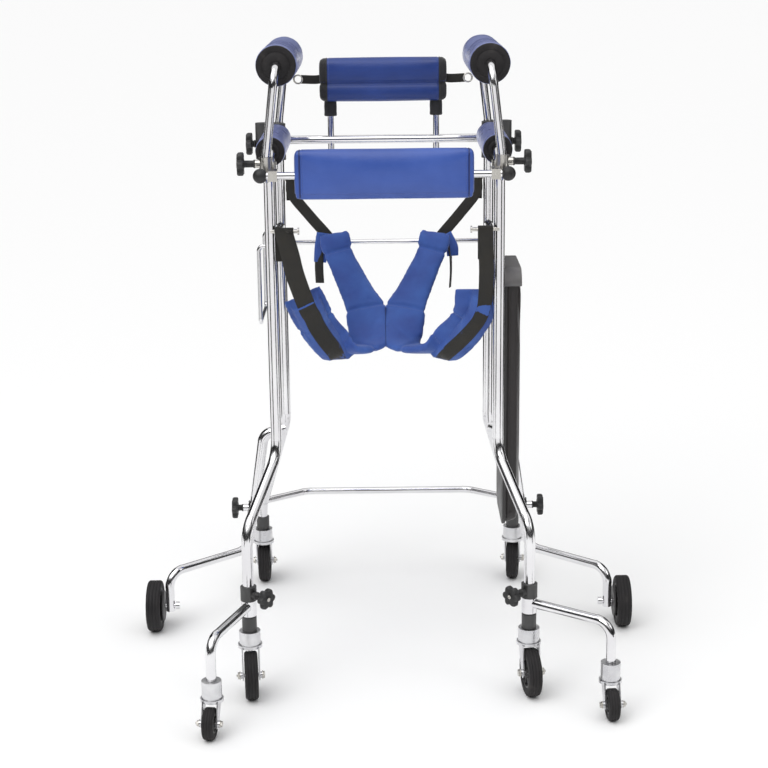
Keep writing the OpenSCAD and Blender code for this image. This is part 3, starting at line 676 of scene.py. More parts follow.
def star_knob(node):
    body = frame["nodes"][node]["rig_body"]
    joint = [j for j in frame["joints"] if j["child"] == body][0]
    at, (x, y, z) = Vector(joint["pos_m"]), axes_along(joint["axis"])
    offsets = [v.co - at for v in frame["nodes"][node].data.vertices]
    tip = min(o.dot(z) for o in offsets)
    top = max(o.dot(z) for o in offsets)
    radius = max((o - z * o.dot(z)).length for o in offsets)
    head = 13 * MM
    rings = []
    for inset, height in [(0.5, 0.0), (0.92, 0.0), (0.99, 0.12), (1.0, 0.3), (1.0, 0.62),
                          (0.97, 0.85), (0.9, 0.97), (0.7, 1.0), (0.35, 0.93), (0.3, 1.0), (0.05, 1.03)]:
        rings.append(star_ring(radius * inset, radius * 0.26 * inset ** 2, top - head + head * height * 0.97))
    verts = [at + x * p[0] + y * p[1] + z * p[2] for ring in rings for p in ring]
    faces = ring_faces(len(rings), len(rings[0]), capped=True)
    stem = [(0.4 * MM, tip), (3.6 * MM, tip), (3.9 * MM, tip + 1 * MM)]
    neck_start = top - head - spindle_length(node)
    stem += [(3.9 * MM, neck_start), (8 * MM, neck_start), (8.2 * MM, neck_start + 2 * MM),
             (6.6 * MM, neck_start + 4 * MM), (6.8 * MM, top - head - 2 * MM),
             (9.5 * MM, top - head + 1 * MM), (0.4 * MM, top - head + 1 * MM)]
    parts = merged((verts, faces), turned(stem, at, z, 32))
    new_piece(f"{node}_star", *parts, "black", body, "black_plastic", [node])
    insert = [(0.4 * MM, 0), (4.4 * MM, 0), (4.4 * MM, 0.8 * MM), (3.4 * MM, 1.3 * MM), (0.4 * MM, 1.3 * MM)]
    new_piece(f"{node}_screw", *turned(insert, at + z * (top - 1.2 * MM), z, 24), "plated", body,
              "plated_steel")


def spindle_length(node):
    """How far each kind of knob's head stands off its clamp, as in the CAD."""
    lengths = {"knob_rear": 22, "knob_front": 7, "outrigger_knob": 20, "side_knob": 12}
    return lengths[node.rsplit("_", 1)[0]] * MM


def make_knobs():
    for kind in ("knob_rear", "knob_front", "outrigger_knob", "side_knob"):
        for side in SIDES:
            star_knob(f"{kind}_{side}")


# ---------------------------------------------------------------- rolls

def roll(node, body, core, seed):
    """A foam roll: its skin creases a little round the tube, and both ends have rubber caps."""
    low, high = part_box(node)
    centre = (low + high) / 2
    radius = (high.x - low.x) / 2
    half = (high.y - low.y) / 2
    cap = 7 * MM
    skin_half = half - cap + 1.5 * MM
    rings, sides = 72, 72
    verts = []
    for r in range(rings + 1):
        share = 2 * r / rings - 1
        y = skin_half * share
        edge = max(0.0, abs(y) - (skin_half - 5 * MM)) / (5 * MM)
        trim = 2.2 * MM * edge ** 2
        for i in range(sides):
            a = 2 * math.pi * i / sides
            out = Vector((math.cos(a), 0, math.sin(a)))
            crease = noise.noise(Vector((out.x * 2.2, y * 46, out.z * 2.2)) + Vector((seed, 0, 0)))
            sag = noise.noise(Vector((out.x * 1.1, y * 9 + seed, out.z * 1.1)))
            reach = radius - trim - 0.5 * MM + 0.5 * MM * crease + 0.6 * MM * min(0, sag)
            verts.append(centre + Vector((0, y, 0)) + out * reach)
    faces = ring_faces(rings + 1, sides)
    inner = len(verts)
    for y in (-skin_half, skin_half):
        for i in range(sides):
            a = 2 * math.pi * i / sides
            verts.append(centre + Vector((math.cos(a) * core, y, math.sin(a) * core)))
    for i in range(sides):
        j = (i + 1) % sides
        last = rings * sides
        faces.append((i, j, inner + j, inner + i))
        faces.append((last + j, last + i, inner + sides + i, inner + sides + j))
        faces.append((inner + i, inner + j, inner + sides + j, inner + sides + i))
    skin = new_piece(f"{node}_skin", verts, faces, "roll", body, "roller_vinyl", [node])
    caps = []
    for side in (-1, 1):
        face = skin_half - 1 * MM
        rim = radius - 1.6 * MM
        profile = [(core, face), (rim, face), *arc((rim - 2 * MM, face + 4.5 * MM), 2 * MM, 0, 90, 4),
                   (rim * 0.72, face + 7.2 * MM), (rim * 0.7, face + 6.2 * MM),
                   (rim * 0.66, face + 6.2 * MM), (rim * 0.64, face + 7.4 * MM),
                   (core + 2 * MM, face + 7.6 * MM), (core, face + 7 * MM)]
        caps.append(turned(profile, centre, (0, side, 0), 72))
    new_piece(f"{node}_caps", *merged(*caps), "foam_cap", body, "roller_vinyl")


def make_rolls():
    for number, side in enumerate(SIDES):
        roll(f"armrest_pad_{side}", "frame", 11.3 * MM, number)
        roll(f"underarm_pad_{side}", f"underarm_{side}", 8.8 * MM, 5 + number)


# ---------------------------------------------------------------- padded pieces

CLOTH_PRESSURE = 4.0
CLOTH_FRAMES = 20


def inflate(piece, voxel, cap, pinned):
    """Blows a closed mesh up as stuffed cloth. No point moves further than the cap."""
    remesh = piece.modifiers.new("remesh", "REMESH")
    remesh.mode = "VOXEL"
    remesh.voxel_size = voxel
    apply_modifiers(piece)
    start = coordinates(piece)
    group = piece.vertex_groups.new(name="pinned")
    for i, p in enumerate(start):
        weight = pinned(Vector(p))
        if weight > 0:
            group.add([i], weight, "REPLACE")
    cloth = piece.modifiers.new("cloth", "CLOTH")
    cloth.settings.quality = 5
    cloth.settings.mass = 0.2
    cloth.settings.tension_stiffness = 12
    cloth.settings.compression_stiffness = 12
    cloth.settings.shear_stiffness = 5
    cloth.settings.bending_stiffness = 0.4
    cloth.settings.use_pressure = True
    cloth.settings.uniform_pressure_force = CLOTH_PRESSURE
    cloth.settings.effector_weights.gravity = 0
    cloth.collision_settings.use_collision = False
    cloth.settings.vertex_group_mass = "pinned"
    cloth.point_cache.frame_start = 1
    cloth.point_cache.frame_end = CLOTH_FRAMES
    for number in range(1, CLOTH_FRAMES + 1):
        bpy.context.scene.frame_set(number)
    swollen = evaluated_coordinates(piece)
    piece.modifiers.remove(cloth)
    bpy.context.scene.frame_set(1)
    move = swollen - start
    length = np.maximum(np.linalg.norm(move, axis=1), 1e-9)
    move *= (np.minimum(length, cap) / length)[:, None]
    piece.data.vertices.foreach_set("co", (start + move).astype(np.float32).ravel())
    piece.data.update()
    piece.data.shade_smooth()


def coordinates(piece):
    co = np.zeros(len(piece.data.vertices) * 3, np.float32)
    piece.data.vertices.foreach_get("co", co)
    return co.reshape(-1, 3).astype(float)


def evaluated_coordinates(piece):
    graph = bpy.context.evaluated_depsgraph_get()
    mesh = piece.evaluated_get(graph).to_mesh()
    co = np.zeros(len(mesh.vertices) * 3, np.float32)
    mesh.vertices.foreach_get("co", co)
    piece.evaluated_get(graph).to_mesh_clear()
    return co.reshape(-1, 3).astype(float)


def apply_modifiers(piece):
    graph = bpy.context.evaluated_depsgraph_get()
    mesh = bpy.data.meshes.new_from_object(piece.evaluated_get(graph))
    old = piece.data
    piece.modifiers.clear()
    piece.data = mesh
    mesh.name = old.name
    bpy.data.meshes.remove(old)


def subdivide(piece):
    modifier = piece.modifiers.new("smooth", "SUBSURF")
    modifier.levels = 1
    modifier.render_levels = 1
    apply_modifiers(piece)
    piece.data.shade_smooth()


def draw_in(piece, point, normal, reach, depth, centre=None):
    """Presses a sewn channel into the mesh along a plane."""
    co = coordinates(piece)
    normals = np.array([v.normal for v in piece.data.vertices])
    away = (co - np.array(point)) @ np.array(Vector(normal).normalized())
    press = np.exp(-(away / reach) ** 2) * depth
    if centre is not None:
        near, size = centre
        press *= np.linalg.norm(co - np.array(near), axis=1) < size
    co -= normals * press[:, None]
    piece.data.vertices.foreach_set("co", co.astype(np.float32).ravel())
    piece.data.update()


def surface_loops(piece, point, normal, spacing, near=None):
    """Evenly spaced loops of points where a plane cuts the mesh, with outward normals."""
    bm = bmesh.new()
    bm.from_mesh(piece.data)
    geometry = bm.verts[:] + bm.edges[:] + bm.faces[:]
    cut = bmesh.ops.bisect_plane(bm, geom=geometry, plane_co=point, plane_no=normal)["geom_cut"]
    edges = [e for e in cut if isinstance(e, bmesh.types.BMEdge)]
    bm.verts.index_update()
    neighbours = {}
    verts = {}
    for e in edges:
        a, b = e.verts
        verts[a.index], verts[b.index] = a, b
        neighbours.setdefault(a.index, []).append(b.index)
        neighbours.setdefault(b.index, []).append(a.index)
    loops = []
    left = set(neighbours)
    while left:
        start = min(left)
        chain, here, before = [start], start, None
        left.discard(start)
        while True:
            onward = [n for n in neighbours[here] if n != before and n in left]
            if not onward:
                break
            before, here = here, onward[0]
            left.discard(here)
            chain.append(here)
        if len(chain) > 8:
            loops.append([verts[i].co.copy() for i in chain])
    bm.free()
    if near is not None:
        loops = [l for l in loops if (sum(l, Vector()) / len(l) - Vector(near)).length < 0.06]
    return [even(loop, spacing) for loop in loops]


def even(loop, spacing):
    """A closed loop's points, softened and spaced evenly."""
    closed = loop + [loop[0]]
    lengths = [0.0]
    for a, b in zip(closed, closed[1:]):
        lengths.append(lengths[-1] + (b - a).length)
    count = max(12, round(lengths[-1] / spacing))
    wanted = np.linspace(0, lengths[-1], count, endpoint=False)
    table = np.array([tuple(p) for p in closed])
    points = np.stack([np.interp(wanted, lengths, table[:, k]) for k in range(3)], axis=1)
    for _ in range(3):
        points = 0.25 * np.roll(points, 1, 0) + 0.5 * points + 0.25 * np.roll(points, -1, 0)
    return [Vector(p) for p in points]


def piping(name, loops, radius, finish, body, slot):
    new_piece(name, *merged(*[tube(loop, radius, 10, True) for loop in loops]), finish, body, slot)


STITCH_LENGTH = 3 * MM
STITCH_GAP = 2.2 * MM


def stitches(name, loops, body, slot):
    """Short raised threads along each loop."""
    parts = []
    for loop in loops:
        dense = even(loop, 1 * MM)
        step = max(1, round((STITCH_LENGTH + STITCH_GAP) / MM))
        run = max(1, round(STITCH_LENGTH / MM))
        for start in range(0, len(dense) - run, step):
            a, b = dense[start], dense[start + run]
            middle = (a + b) / 2
            parts.append(tube([a, a.lerp(middle, 0.5), middle, middle.lerp(b, 0.5), b], 0.45 * MM, 5))
    new_piece(name, *merged(*parts), "thread", body, slot)


def pad_shape(centre, size, corner, pinch=0.0):
    """A block of foam with round edges, whose ends may be a little thinner than its middle."""
    verts, faces = rounded_slab(size, corner, 4)
    shaped = []
    for v in verts:
        end = abs(v.x) / (size[0] / 2)
        squeeze = 1 - pinch * end ** 4
        shaped.append(Vector(centre) + Vector((v.x, v.y * squeeze, v.z * squeeze)))
    return shaped, faces


def make_back_pad():
    low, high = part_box("back_pad")
    centre, size = (low + high) / 2, high - low
    inset = 5 * MM
    shape = pad_shape(centre, (size.x - 2 * MM, size.y - 2 * inset, size.z - 1.4 * inset), 9 * MM, 0.06)
    pad = new_piece("back_pad_cover", *shape, "back", "frame", "back_pad_vinyl", ["back_pad"])
    end_x = size.x / 2 - 11 * MM

    def pinned(p):
        return 1.0 if abs(abs(p.x - centre.x) - end_x) < 4 * MM else 0.0

    inflate(pad, 5 * MM, 7 * MM, pinned)
    subdivide(pad)
    loops = []
    rows = []
    for side in (-1, 1):
        seam = centre + Vector((side * end_x, 0, 0))
        draw_in(pad, seam, (1, 0, 0), 3 * MM, 1.2 * MM)
        loops += surface_loops(pad, seam, (1, 0, 0), 3 * MM)
        rows += surface_loops(pad, seam - Vector((side * 5 * MM, 0, 0)), (1, 0, 0), 1 * MM)
    lower = centre - Vector((0, 0, size.z * 0.36))
    draw_in(pad, lower, (0, 0, 1), 2.4 * MM, 1.1 * MM)
    rows += surface_loops(pad, lower + Vector((0, 0, 2.6 * MM)), (0, 0, 1), 1 * MM)
    piping("back_pad_piping", loops, 1.7 * MM, "piping", "frame", "back_pad_vinyl")
    stitches("back_pad_stitches", rows, "frame", "back_pad_vinyl")


def make_chest_pad():
    """Two rolls, one above the other, with black end panels and sleeves down both posts."""
    low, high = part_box("chest_pad")
    centre, size = (low + high) / 2, high - low
    groove = 0.42
    verts = []
    steps, rings = 40, 36
    split_z = low.z + size.z * groove
    lobes = [(low.z, split_z), (split_z, high.z)]
    outline = []
    for sign in (1, -1):
        stretch = []
        for bottom, top in lobes:
            middle, reach = (bottom + top) / 2, (top - bottom) / 2
            for i in range(steps // 4 + 1):
                share = -1 + 2 * i / (steps // 4)
                thick = (1 - abs(share) ** 2.6) ** 0.5
                stretch.append((sign * (0.34 + 0.66 * thick), middle + reach * share * 0.995))
        outline += stretch if sign > 0 else stretch[::-1]
    half = size.x / 2 - 1 * MM
    for r in range(rings + 1):
        share = 2 * r / rings - 1
        ease = 1 - max(0.0, (abs(share) - 0.93) / 0.07) ** 2 * 0.28
        for thick, z in outline:
            y = thick * (size.y / 2 - 6 * MM) * ease
            verts.append(Vector((centre.x + half * share, centre.y + y,
                                 centre.z + (z - centre.z) * (0.5 + 0.5 * ease) * 0.93)))
    faces = ring_faces(rings + 1, len(outline), capped=True)
    pad = new_piece("chest_pad_cover", verts, faces, "chest", "chest_rest", "chest_pad_vinyl",
                    ["chest_pad"])
    end_x = half - 15 * MM
    groove_z = centre.z + (split_z - centre.z) * 0.93

    def pinned(p):
        at_end = abs(abs(p.x - centre.x) - end_x) < 4 * MM
        return 1.0 if at_end or abs(p.z - groove_z) < 3.5 * MM else 0.0

    inflate(pad, 4.5 * MM, 6.5 * MM, pinned)
    subdivide(pad)
    draw_in(pad, (0, 0, groove_z), (0, 0, 1), 3.2 * MM, 2.2 * MM)
    loops, rows = [], []
    for side in (-1, 1):
        seam = centre + Vector((side * end_x, 0, 0))
        draw_in(pad, seam, (1, 0, 0), 3 * MM, 1.2 * MM)
        loops += surface_loops(pad, seam, (1, 0, 0), 3 * MM)
        rows += surface_loops(pad, seam - Vector((side * 5 * MM, 0, 0)), (1, 0, 0), 1 * MM)
    rows += surface_loops(pad, (0, 0, groove_z + 3.4 * MM), (0, 0, 1), 1 * MM)
    piping("chest_pad_piping", loops, 1.8 * MM, "panel", "chest_rest", "chest_pad_vinyl")
    stitches("chest_pad_stitches", rows, "chest_rest", "chest_pad_vinyl")
    pad.data.materials.append(FINISH["panel"])
    for face in pad.data.polygons:
        if abs(face.center.x - centre.x) > end_x:
            face.material_index = 1
    make_post_sleeves(low.z)


def make_post_sleeves(pad_bottom):
    low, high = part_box("chest_posts")
    post_r = 6.5 * MM
    half = (high.x - low.x) / 2 - post_r
    y = (low.y + high.y) / 2
    parts = []
    for side in (-1, 1):
        foot = pad_bottom - 27 * MM
        profile = [(post_r + 0.3 * MM, 0), (12.4 * MM, 0), (13.4 * MM, 1.2 * MM), (13 * MM, 9 * MM),
                   (13.3 * MM, 20 * MM), (12.7 * MM, 31 * MM), (12.2 * MM, 40 * MM),
                   (post_r + 0.3 * MM, 40 * MM)]
        parts.append(turned(profile, (side * half, y, foot), (0, 0, 1), 40))
    new_piece("chest_post_sleeves", *merged(*parts), "panel", "chest_rest", "black_webbing")


def make_seat():
    low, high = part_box("seat_board")
    size = high - low
    centre = (low + high) / 2
    corner = 34 * MM
    cap_bottom = size.z / 2 - 46 * MM
    pan = slab_outline(size.y - 2 * MM, size.z - 2 * MM, corner)
    pan_x = low.x + 0.3 * MM
    board = extruded(pan, centre, pan_x, 7 * MM, 1.4 * MM)
    new_piece("seat_pan", *board, "pan", "seat", "seat_vinyl", ["seat_board"])
    face_x = pan_x + 6 * MM
    depth = high.x - face_x - 5.5 * MM
    foam = extruded(slab_outline(size.y - 9 * MM, size.z - 9 * MM, corner - 4 * MM), centre, face_x,
                    depth, 4 * MM)
    cover = new_piece("seat_cushion", *foam, "seat", "seat", "seat_vinyl")

    def pinned(p):
        return 1.0 if p.x < face_x + 3 * MM else 0.0

    inflate(cover, 5 * MM, 5 * MM, pinned)
    subdivide(cover)
    seam = Vector((face_x + 5 * MM, centre.y, centre.z))
    draw_in(cover, seam, (1, 0, 0), 2 * MM, 0.8 * MM)
    loops = surface_loops(cover, seam, (1, 0, 0), 4 * MM)
    piping("seat_piping", loops, 1.5 * MM, "seat", "seat", "seat_vinyl")
    # The top end cap's pale grey is a painted highlight: it stands in for the sheen that the lights put on
    # the board's top edge.
    inner = slab_outline(size.y - 12 * MM, size.z - 12 * MM, corner - 5 * MM)
    outer = slab_outline(size.y - 1 * MM, size.z - 1 * MM, corner)
    top = [(y, z) for y, z in outer if z > cap_bottom]
    under = [(y, z) for y, z in inner if z > cap_bottom]
    new_piece("seat_end_cap", *extruded(top + under[::-1], centre, low.x, size.x - 0.6 * MM, 1.5 * MM),
              "grey", "seat", "seat_vinyl")


def slab_outline(width, height, corner, steps=10):
    """A rectangle with round corners, centred, as (across, up) points."""
    points = []
    for sx, sz, start in ((1, 1, 0), (-1, 1, 90), (-1, -1, 180), (1, -1, 270)):
        centre = (sx * (width / 2 - corner), sz * (height / 2 - corner))
        points += arc(centre, corner, start, start + 90, steps)
    return points


def extruded(outline, centre, x, depth, edge):
    """The outline standing in the YZ plane, thickened along X, with a round outer edge."""
    rings = []
    middle_y = sum(p[0] for p in outline) / len(outline)
    middle_z = sum(p[1] for p in outline) / len(outline)
    span = max(max(abs(p[0] - middle_y) for p in outline), 1e-6)
    rise = max(max(abs(p[1] - middle_z) for p in outline), 1e-6)
    for along, inset in [(0, edge * 0.5), (edge * 0.5, 0), (depth - edge, 0),
                         (depth - edge * 0.4, edge * 0.25), (depth, edge)]:
        ring = []
        for y, z in outline:
            ring.append(Vector((x + along, centre.y + middle_y + (y - middle_y) * (1 - inset / span),
                                centre.z + middle_z + (z - middle_z) * (1 - inset / rise))))
        rings.append(ring)
    verts = [v for ring in rings for v in ring]
    return verts, ring_faces(len(rings), len(outline), capped=True)


# ---------------------------------------------------------------- sling

def at_posts(x, y, z):
    """A point given in millimetres from the middle between the posts, and from the floor."""
    return Vector((x * MM, POST_MIDDLE.y + y * MM, z * MM))


# Each belt from its front end, through the saddle, to its rear end: centre, half width.
# The left one is given as if it were on the right. Its rear end hangs lower and slants.
BELT_FRONT = [
    ((107, 104, 857), (29, 0, 15)),
    ((99, 92, 820), (32, -2, 15)),
    ((80, 74, 781), (35, -4, 15)),
    ((60, 52, 743), (37, -5, 12)),
    ((42, 28, 710), (41, -4, 8)),
    ((33, 0, 678), (40, 0, 0)),
    ((34, -30, 655), (38, 10, -3)),
]
BELT_REAR = {
    "right": [
        ((56, -54, 643), (24, 22, -5)),
        ((94, -74, 647), (14, 28, -10)),
        ((113, -84, 655), (17, 10, -24)),
        ((133, -94, 668), (18, -4, -28)),
        ((158, -112, 697), (26, -6, -19)),
        ((176, -128, 737), (34, -2, -7)),
        ((178, -134, 782), (35, 0, 2)),
    ],
    "left": [
        ((52, -54, 643), (22, 24, -5)),
        ((80, -68, 646), (14, 28, -10)),
        ((96, -78, 655), (17, 10, -24)),
        ((113, -90, 670), (18, -4, -28)),
        ((133, -108, 700), (25, -6, -20)),
        ((151, -122, 738), (30, -4, -16)),
        ((167, -134, 776), (30, 0, -18)),
    ],
}
BELT_STEPS = 10
BELT_THICKNESS = 19 * MM
BELT_SPREAD = 7 * MM
# Where the cross seams lie, counted in stations from the front end
BELT_SEAMS = (1.05, 4.0, 6.8, 9.0, 11.4)


def stations_line(stations, steps, sign):
    """Smooth centres and side vectors through the stations, on either side."""
    flip = Vector((sign, 1, 1))
    centres = spline([at_posts(*c) * flip for c, _ in stations], steps)
    sides = spline([Vector(s) * MM * flip for _, s in stations], steps)
    return centres, sides


def ribbon(centres, sides, thickness, section):
    """Verts, faces and each vertex's place on the band, for a band with the given section.
    The section is a list of (across, up) from -1 to 1."""
    verts, places = [], []
    length = 0.0
    for i, centre in enumerate(centres):
        along = direction_at(centres, i)
        side = sides[i] - along * sides[i].dot(along)
        up = along.cross(side.normalized())
        if i:
            length += (centre - centres[i - 1]).length
        for across, rise in section:
            verts.append(centre + side * across + up * rise * thickness(i) / 2)
            places.append((across * side.length, length, rise))
    return verts, ring_faces(len(centres), len(section), capped=True), places


def direction_at(line, i):
    return (line[min(i + 1, len(line) - 1)] - line[max(i - 1, 0)]).normalized()


def oval_section(sides, power):
    """A rounded, flattened section."""
    points = []
    for i in range(sides):
        a = 2 * math.pi * i / sides
        c, s = math.cos(a), math.sin(a)
        points.append((math.copysign(abs(c) ** power, c), math.copysign(abs(s) ** power, s)))
    return points


FLAT_SECTION = [(-1, -0.5), (-0.97, -1), (-0.5, -1), (0, -1), (0.5, -1), (0.97, -1), (1, -0.5),
                (1, 0.5), (0.97, 1), (0.5, 1), (0, 1), (-0.5, 1), (-0.97, 1), (-1, 0.5)]


def mark_places(piece, places):
    attribute = piece.data.attributes.new("band_place", "FLOAT_VECTOR", "POINT")
    attribute.data.foreach_set("vector", np.array(places, np.float32).ravel())


def web_band(name, lines, thickness, body, replaces=()):
    """One piece of webbing made of one or more flat bands."""
    verts, faces, places = [], [], []
    for centres, sides in lines:
        more_verts, more_faces, more_places = ribbon(centres, sides, lambda i: thickness, FLAT_SECTION)
        faces += [tuple(i + len(verts) for i in face) for face in more_faces]
        verts += more_verts
        places += more_places
    band = new_piece(name, verts, faces, "web", body, "black_webbing", replaces)
    mark_places(band, places)
    return band


def widened(sides, extra):
    return [s * (1 + extra / s.length) for s in sides]


def belt_line(side):
    centres, sides = stations_line(BELT_FRONT + BELT_REAR[side], BELT_STEPS, SIDES[side])
    return centres, widened(sides, BELT_SPREAD)


# Where the rear webbing is sewn along each belt: station, shift outward, lift off its middle
WEB_OVER_BELT = {
    "right": [(12.6, 18, 34), (12.0, 13, 31), (11.4, 11, 27), (10.6, 12, 21), (9.8, 13, 18),
              (9.1, 14, 18), (8.4, 14, 18)],
    "left": [(12.6, 0, 31), (12.0, 1, 28), (11.4, 4, 23), (10.6, 7, 19.5), (9.8, 9, 18),
             (9.1, 11, 18), (8.3, 13, 18)],
}
WEB_HALF = {"right": 14.5 * MM, "left": 18 * MM}


def web_over_belt(side):
    """The sewn stretch of the rear webbing, from the belt's rear end to under the saddle."""
    centres, sides = belt_line(side)
    line, halves = [], []
    for station, shift, lift in WEB_OVER_BELT[side]:
        i = min(round(station * BELT_STEPS), len(centres) - 1)
        along = direction_at(centres, i)
        across = (sides[i] - along * sides[i].dot(along)).normalized()
        outward = across.cross(along) * SIDES[side]
        line.append(centres[i] + outward * lift * MM + across * shift * MM)
        halves.append(across * WEB_HALF[side])
    return line, halves


def press_under(piece, line, halves, depth):
    """Pushes the padding in wherever the webbing lies on it, easing out beside the band."""
    co = coordinates(piece)
    points = np.array([tuple(p) for p in line])
    nearest = np.argmin(((co[:, None, :] - points[None]) ** 2).sum(axis=2), axis=1)
    for v, i in enumerate(nearest):
        along = direction_at(line, i)
        across = (halves[i] - along * halves[i].dot(along)).normalized()
        outward = across.cross(along) * (1 if line[0].x > 0 else -1)
        offset = Vector(co[v]) - line[i]
        if abs(offset.dot(along)) > 6 * MM:
            continue
        beside = max(0.0, abs(offset.dot(across)) - halves[i].length)
        limit = -depth + beside * 0.9
        rise = offset.dot(outward)
        if limit < rise < 30 * MM and beside < 12 * MM:
            co[v] = np.array(tuple(Vector(co[v]) - outward * (rise - limit)))
    piece.data.vertices.foreach_set("co", co.astype(np.float32).ravel())
    piece.data.update()


def make_belt(side):
    sign = SIDES[side]
    centres, sides = belt_line(side)
    seams = [(centres[round(s * BELT_STEPS)], direction_at(centres, round(s * BELT_STEPS)))
             for s in BELT_SEAMS]

    def thickness(i):
        end = min(i, len(centres) - 1 - i) / BELT_STEPS
        return BELT_THICKNESS * min(1, 0.4 + 1.8 * end)

    verts, faces, _ = ribbon(centres, sides, thickness, oval_section(28, 0.62))
    belt = new_piece(f"sling_belt_{side}", verts, faces, "sling", "frame", "sling_fabric",
                     ["sling_pad"])

    def pinned(p):
        return 1.0 if any(abs((p - s).dot(t)) < 4 * MM and (p - s).length < 60 * MM
                          for s, t in seams) else 0.0

    inflate(belt, 5 * MM, 8 * MM, pinned)
    subdivide(belt)
    rows = []
    for seam, tangent in seams:
        draw_in(belt, seam, tangent, 4.5 * MM, 3.0 * MM, (seam, 0.055))
        rows += surface_loops(belt, seam + tangent * 4 * MM, tangent, 1 * MM, seam)
    line, halves = web_over_belt(side)
    line, halves = spline(line, 12), spline(halves, 12)
    press_under(belt, line, halves, 1.2 * MM)
    keep_off_middle(belt, sign)
    stitches(f"sling_stitches_{side}", rows, "frame", "sling_fabric")


def make_middle_seam():
    """The dark binding that both belts are sewn to where they meet."""
    stations = [((0, 30, 710), (0.7, 0, 0)), ((0, 16, 692), (0.7, 0, 0)), ((0, 0, 674), (0.7, 0, 0)),
                ((0, -22, 656), (0.7, 0, 0)), ((0, -40, 648), (0.7, 0, 0))]
    centres, sides = stations_line(stations, STRAP_STEPS, 1)
    verts, faces, _ = ribbon(centres, sides, lambda i: 17 * MM, oval_section(16, 0.7))
    new_piece("sling_binding", verts, faces, "piping", "frame", "sling_fabric")


def keep_off_middle(piece, sign):
    """Stops a belt where it meets the other one, in the seam between them."""
    co = coordinates(piece)
    co[:, 0] = sign * np.maximum(sign * co[:, 0], 0.4 * MM)
    piece.data.vertices.foreach_set("co", co.astype(np.float32).ravel())
    piece.data.update()


FRONT_PEG = (196, 170, 962)
REAR_PEG = (195, -178, 908)
PEG_LOOP = 6
STRAP_STEPS = 8

# Each front strap from its peg to where it is sewn into the belt's front end
FRONT_STRAP = [
    ((195, 157, 932), (10, 0, -6)),
    ((159, 138, 889), (8.5, 0, -7.5)),
    ((124, 114, 853), (8.5, 0, -7.5)),
    ((110, 103, 838), (8.5, 0, -7.5)),
]
# Each rear strap from its peg down to the belt's rear end
REAR_STRAP = {
    "right": [((196, -187, 859), (14.5, 0, 0)), ((197, -180, 815), (14.5, 0, 0))],
    "left": [((184, -187, 863), (18, 0, -2)), ((176, -178, 822), (18, 0, -4))],
}


def over_peg(peg, half, outward, tail):
    """Stations of a webbing loop: up one side of a peg, over it, and down the side outward in Y."""
    x, y, z = peg
    reach = PEG_LOOP * outward
    return [((x, y - reach, z - tail), half), ((x, y - reach, z - tail / 2), half),
            ((x, y - reach, z), half), ((x, y - 0.7 * reach, z + 4.3), half),
            ((x, y, z + PEG_LOOP), half), ((x, y + 0.7 * reach, z + 4.3), half),
            ((x, y + reach, z - 2), half)]


def make_straps():
    lines = []
    for side, sign in SIDES.items():
        front = over_peg(FRONT_PEG, (13, 0, 0), -1, 46) + FRONT_STRAP
        lines.append(stations_line(front, STRAP_STEPS, sign))
        half = (WEB_HALF[side] / MM, 0, 0)
        rear = over_peg(REAR_PEG, half, -1, 60) + REAR_STRAP[side]
        centres, sides = stations_line(rear, STRAP_STEPS, sign)
        sewn, halves = web_over_belt(side)
        knots = centres[::STRAP_STEPS] + sewn
        lines.append((spline(knots, 10), spline(sides[::STRAP_STEPS] + halves, 10)))
    web_band("sling_webbing", lines, 2.6 * MM, "frame", ["sling_straps"])
    make_strap_ends()


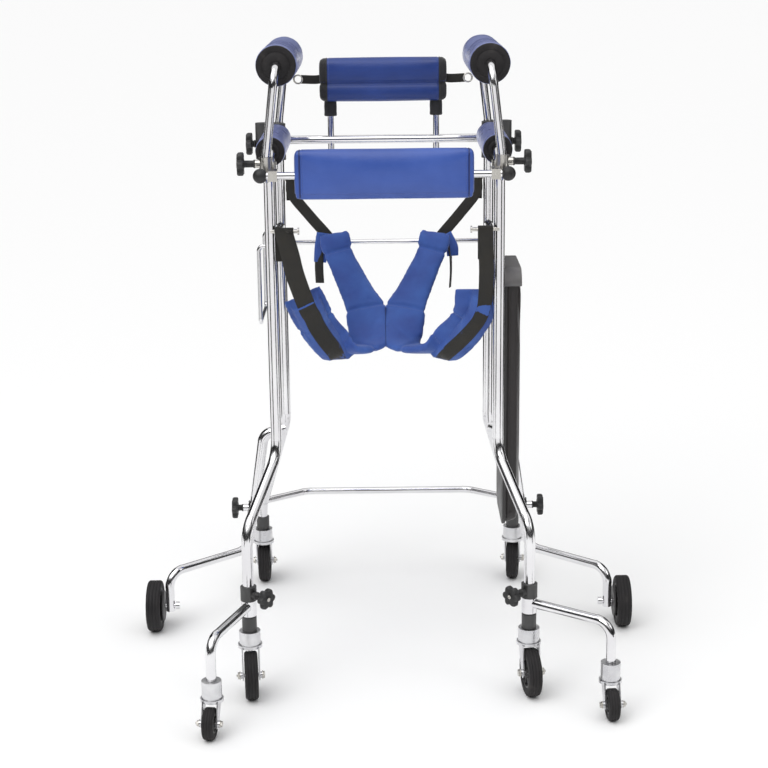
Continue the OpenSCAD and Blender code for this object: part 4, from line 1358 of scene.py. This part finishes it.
# Loose ends below the adjusters at the front of each belt: centre, half width
STRAP_TAILS = {
    "right": [((133, 104, 846), (9, 4, 0)), ((138, 98, 815), (3, 9, 0)), ((139, 94, 776), (2, 9, 0)),
              ((137, 92, 740), (2, 9, 0))],
    "left": [((136, 104, 850), (9, 3, 0)), ((138, 97, 815), (9, 3, 0)), ((139, 93, 785), (9, 3, 0)),
             ((138, 94, 752), (9, 2, 0))],
}
# The padded tabs that back the adjusters: centre, half width
STRAP_TABS = {
    "right": [((128, 110, 850), (14, 0, 3)), ((141, 102, 826), (13, 2, 2)), ((143, 98, 806), (12, 2, 2))],
    "left": [((130, 108, 856), (13, 0, 3)), ((134, 100, 826), (14, 2, 2)), ((137, 97, 796), (13, 2, 2))],
}


def make_strap_ends():
    lines = [stations_line(STRAP_TAILS[side], STRAP_STEPS, sign) for side, sign in SIDES.items()]
    web_band("sling_tails", lines, 1.8 * MM, "frame")
    for side, sign in SIDES.items():
        centres, sides = stations_line(STRAP_TABS[side], STRAP_STEPS, sign)
        verts, faces, _ = ribbon(centres, sides, lambda i: 7 * MM, oval_section(20, 0.6))
        tab = new_piece(f"sling_tab_{side}", verts, faces, "sling", "frame", "sling_fabric")


def make_tethers():
    low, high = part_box("chest_tethers")
    pad_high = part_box("chest_pad")[1]
    y = (low.y + high.y) / 2
    z = (low.z + high.z) / 2
    lines = []
    rings = []
    for sign in SIDES.values():
        start = sign * pad_high.x
        end = sign * (high.x - 17 * MM)
        points = [(start - sign * 4 * MM, y, z), (start + sign * 10 * MM, y, z - 1 * MM), (end, y, z)]
        centres = spline(points, 10)
        lines.append((centres, [Vector((0, 0, 9 * MM))] * len(centres)))
        centre = Vector((sign * (high.x - 10.5 * MM), y, z))
        loop = [centre + Vector((9 * MM * math.cos(a), 0, 8.6 * MM * math.sin(a)))
                for a in np.linspace(0, 2 * math.pi, 40, endpoint=False)]
        rings.append(tube(loop, 1.9 * MM, 10, True))
    web_band("chest_tether_webbing", lines, 2.6 * MM, "chest_rest", ["chest_tethers"])
    new_piece("chest_tether_rings", *merged(*rings), "plated", "chest_rest", "plated_steel")


# ---------------------------------------------------------------- the scene

make_camera()
make_stage()
FINISH = make_finishes()
paint_frame()
make_casters()
make_races()
make_knobs()
make_rolls()
make_back_pad()
make_chest_pad()
make_seat()
for belt_side in SIDES:
    make_belt(belt_side)
make_middle_seam()
make_straps()
make_tethers()
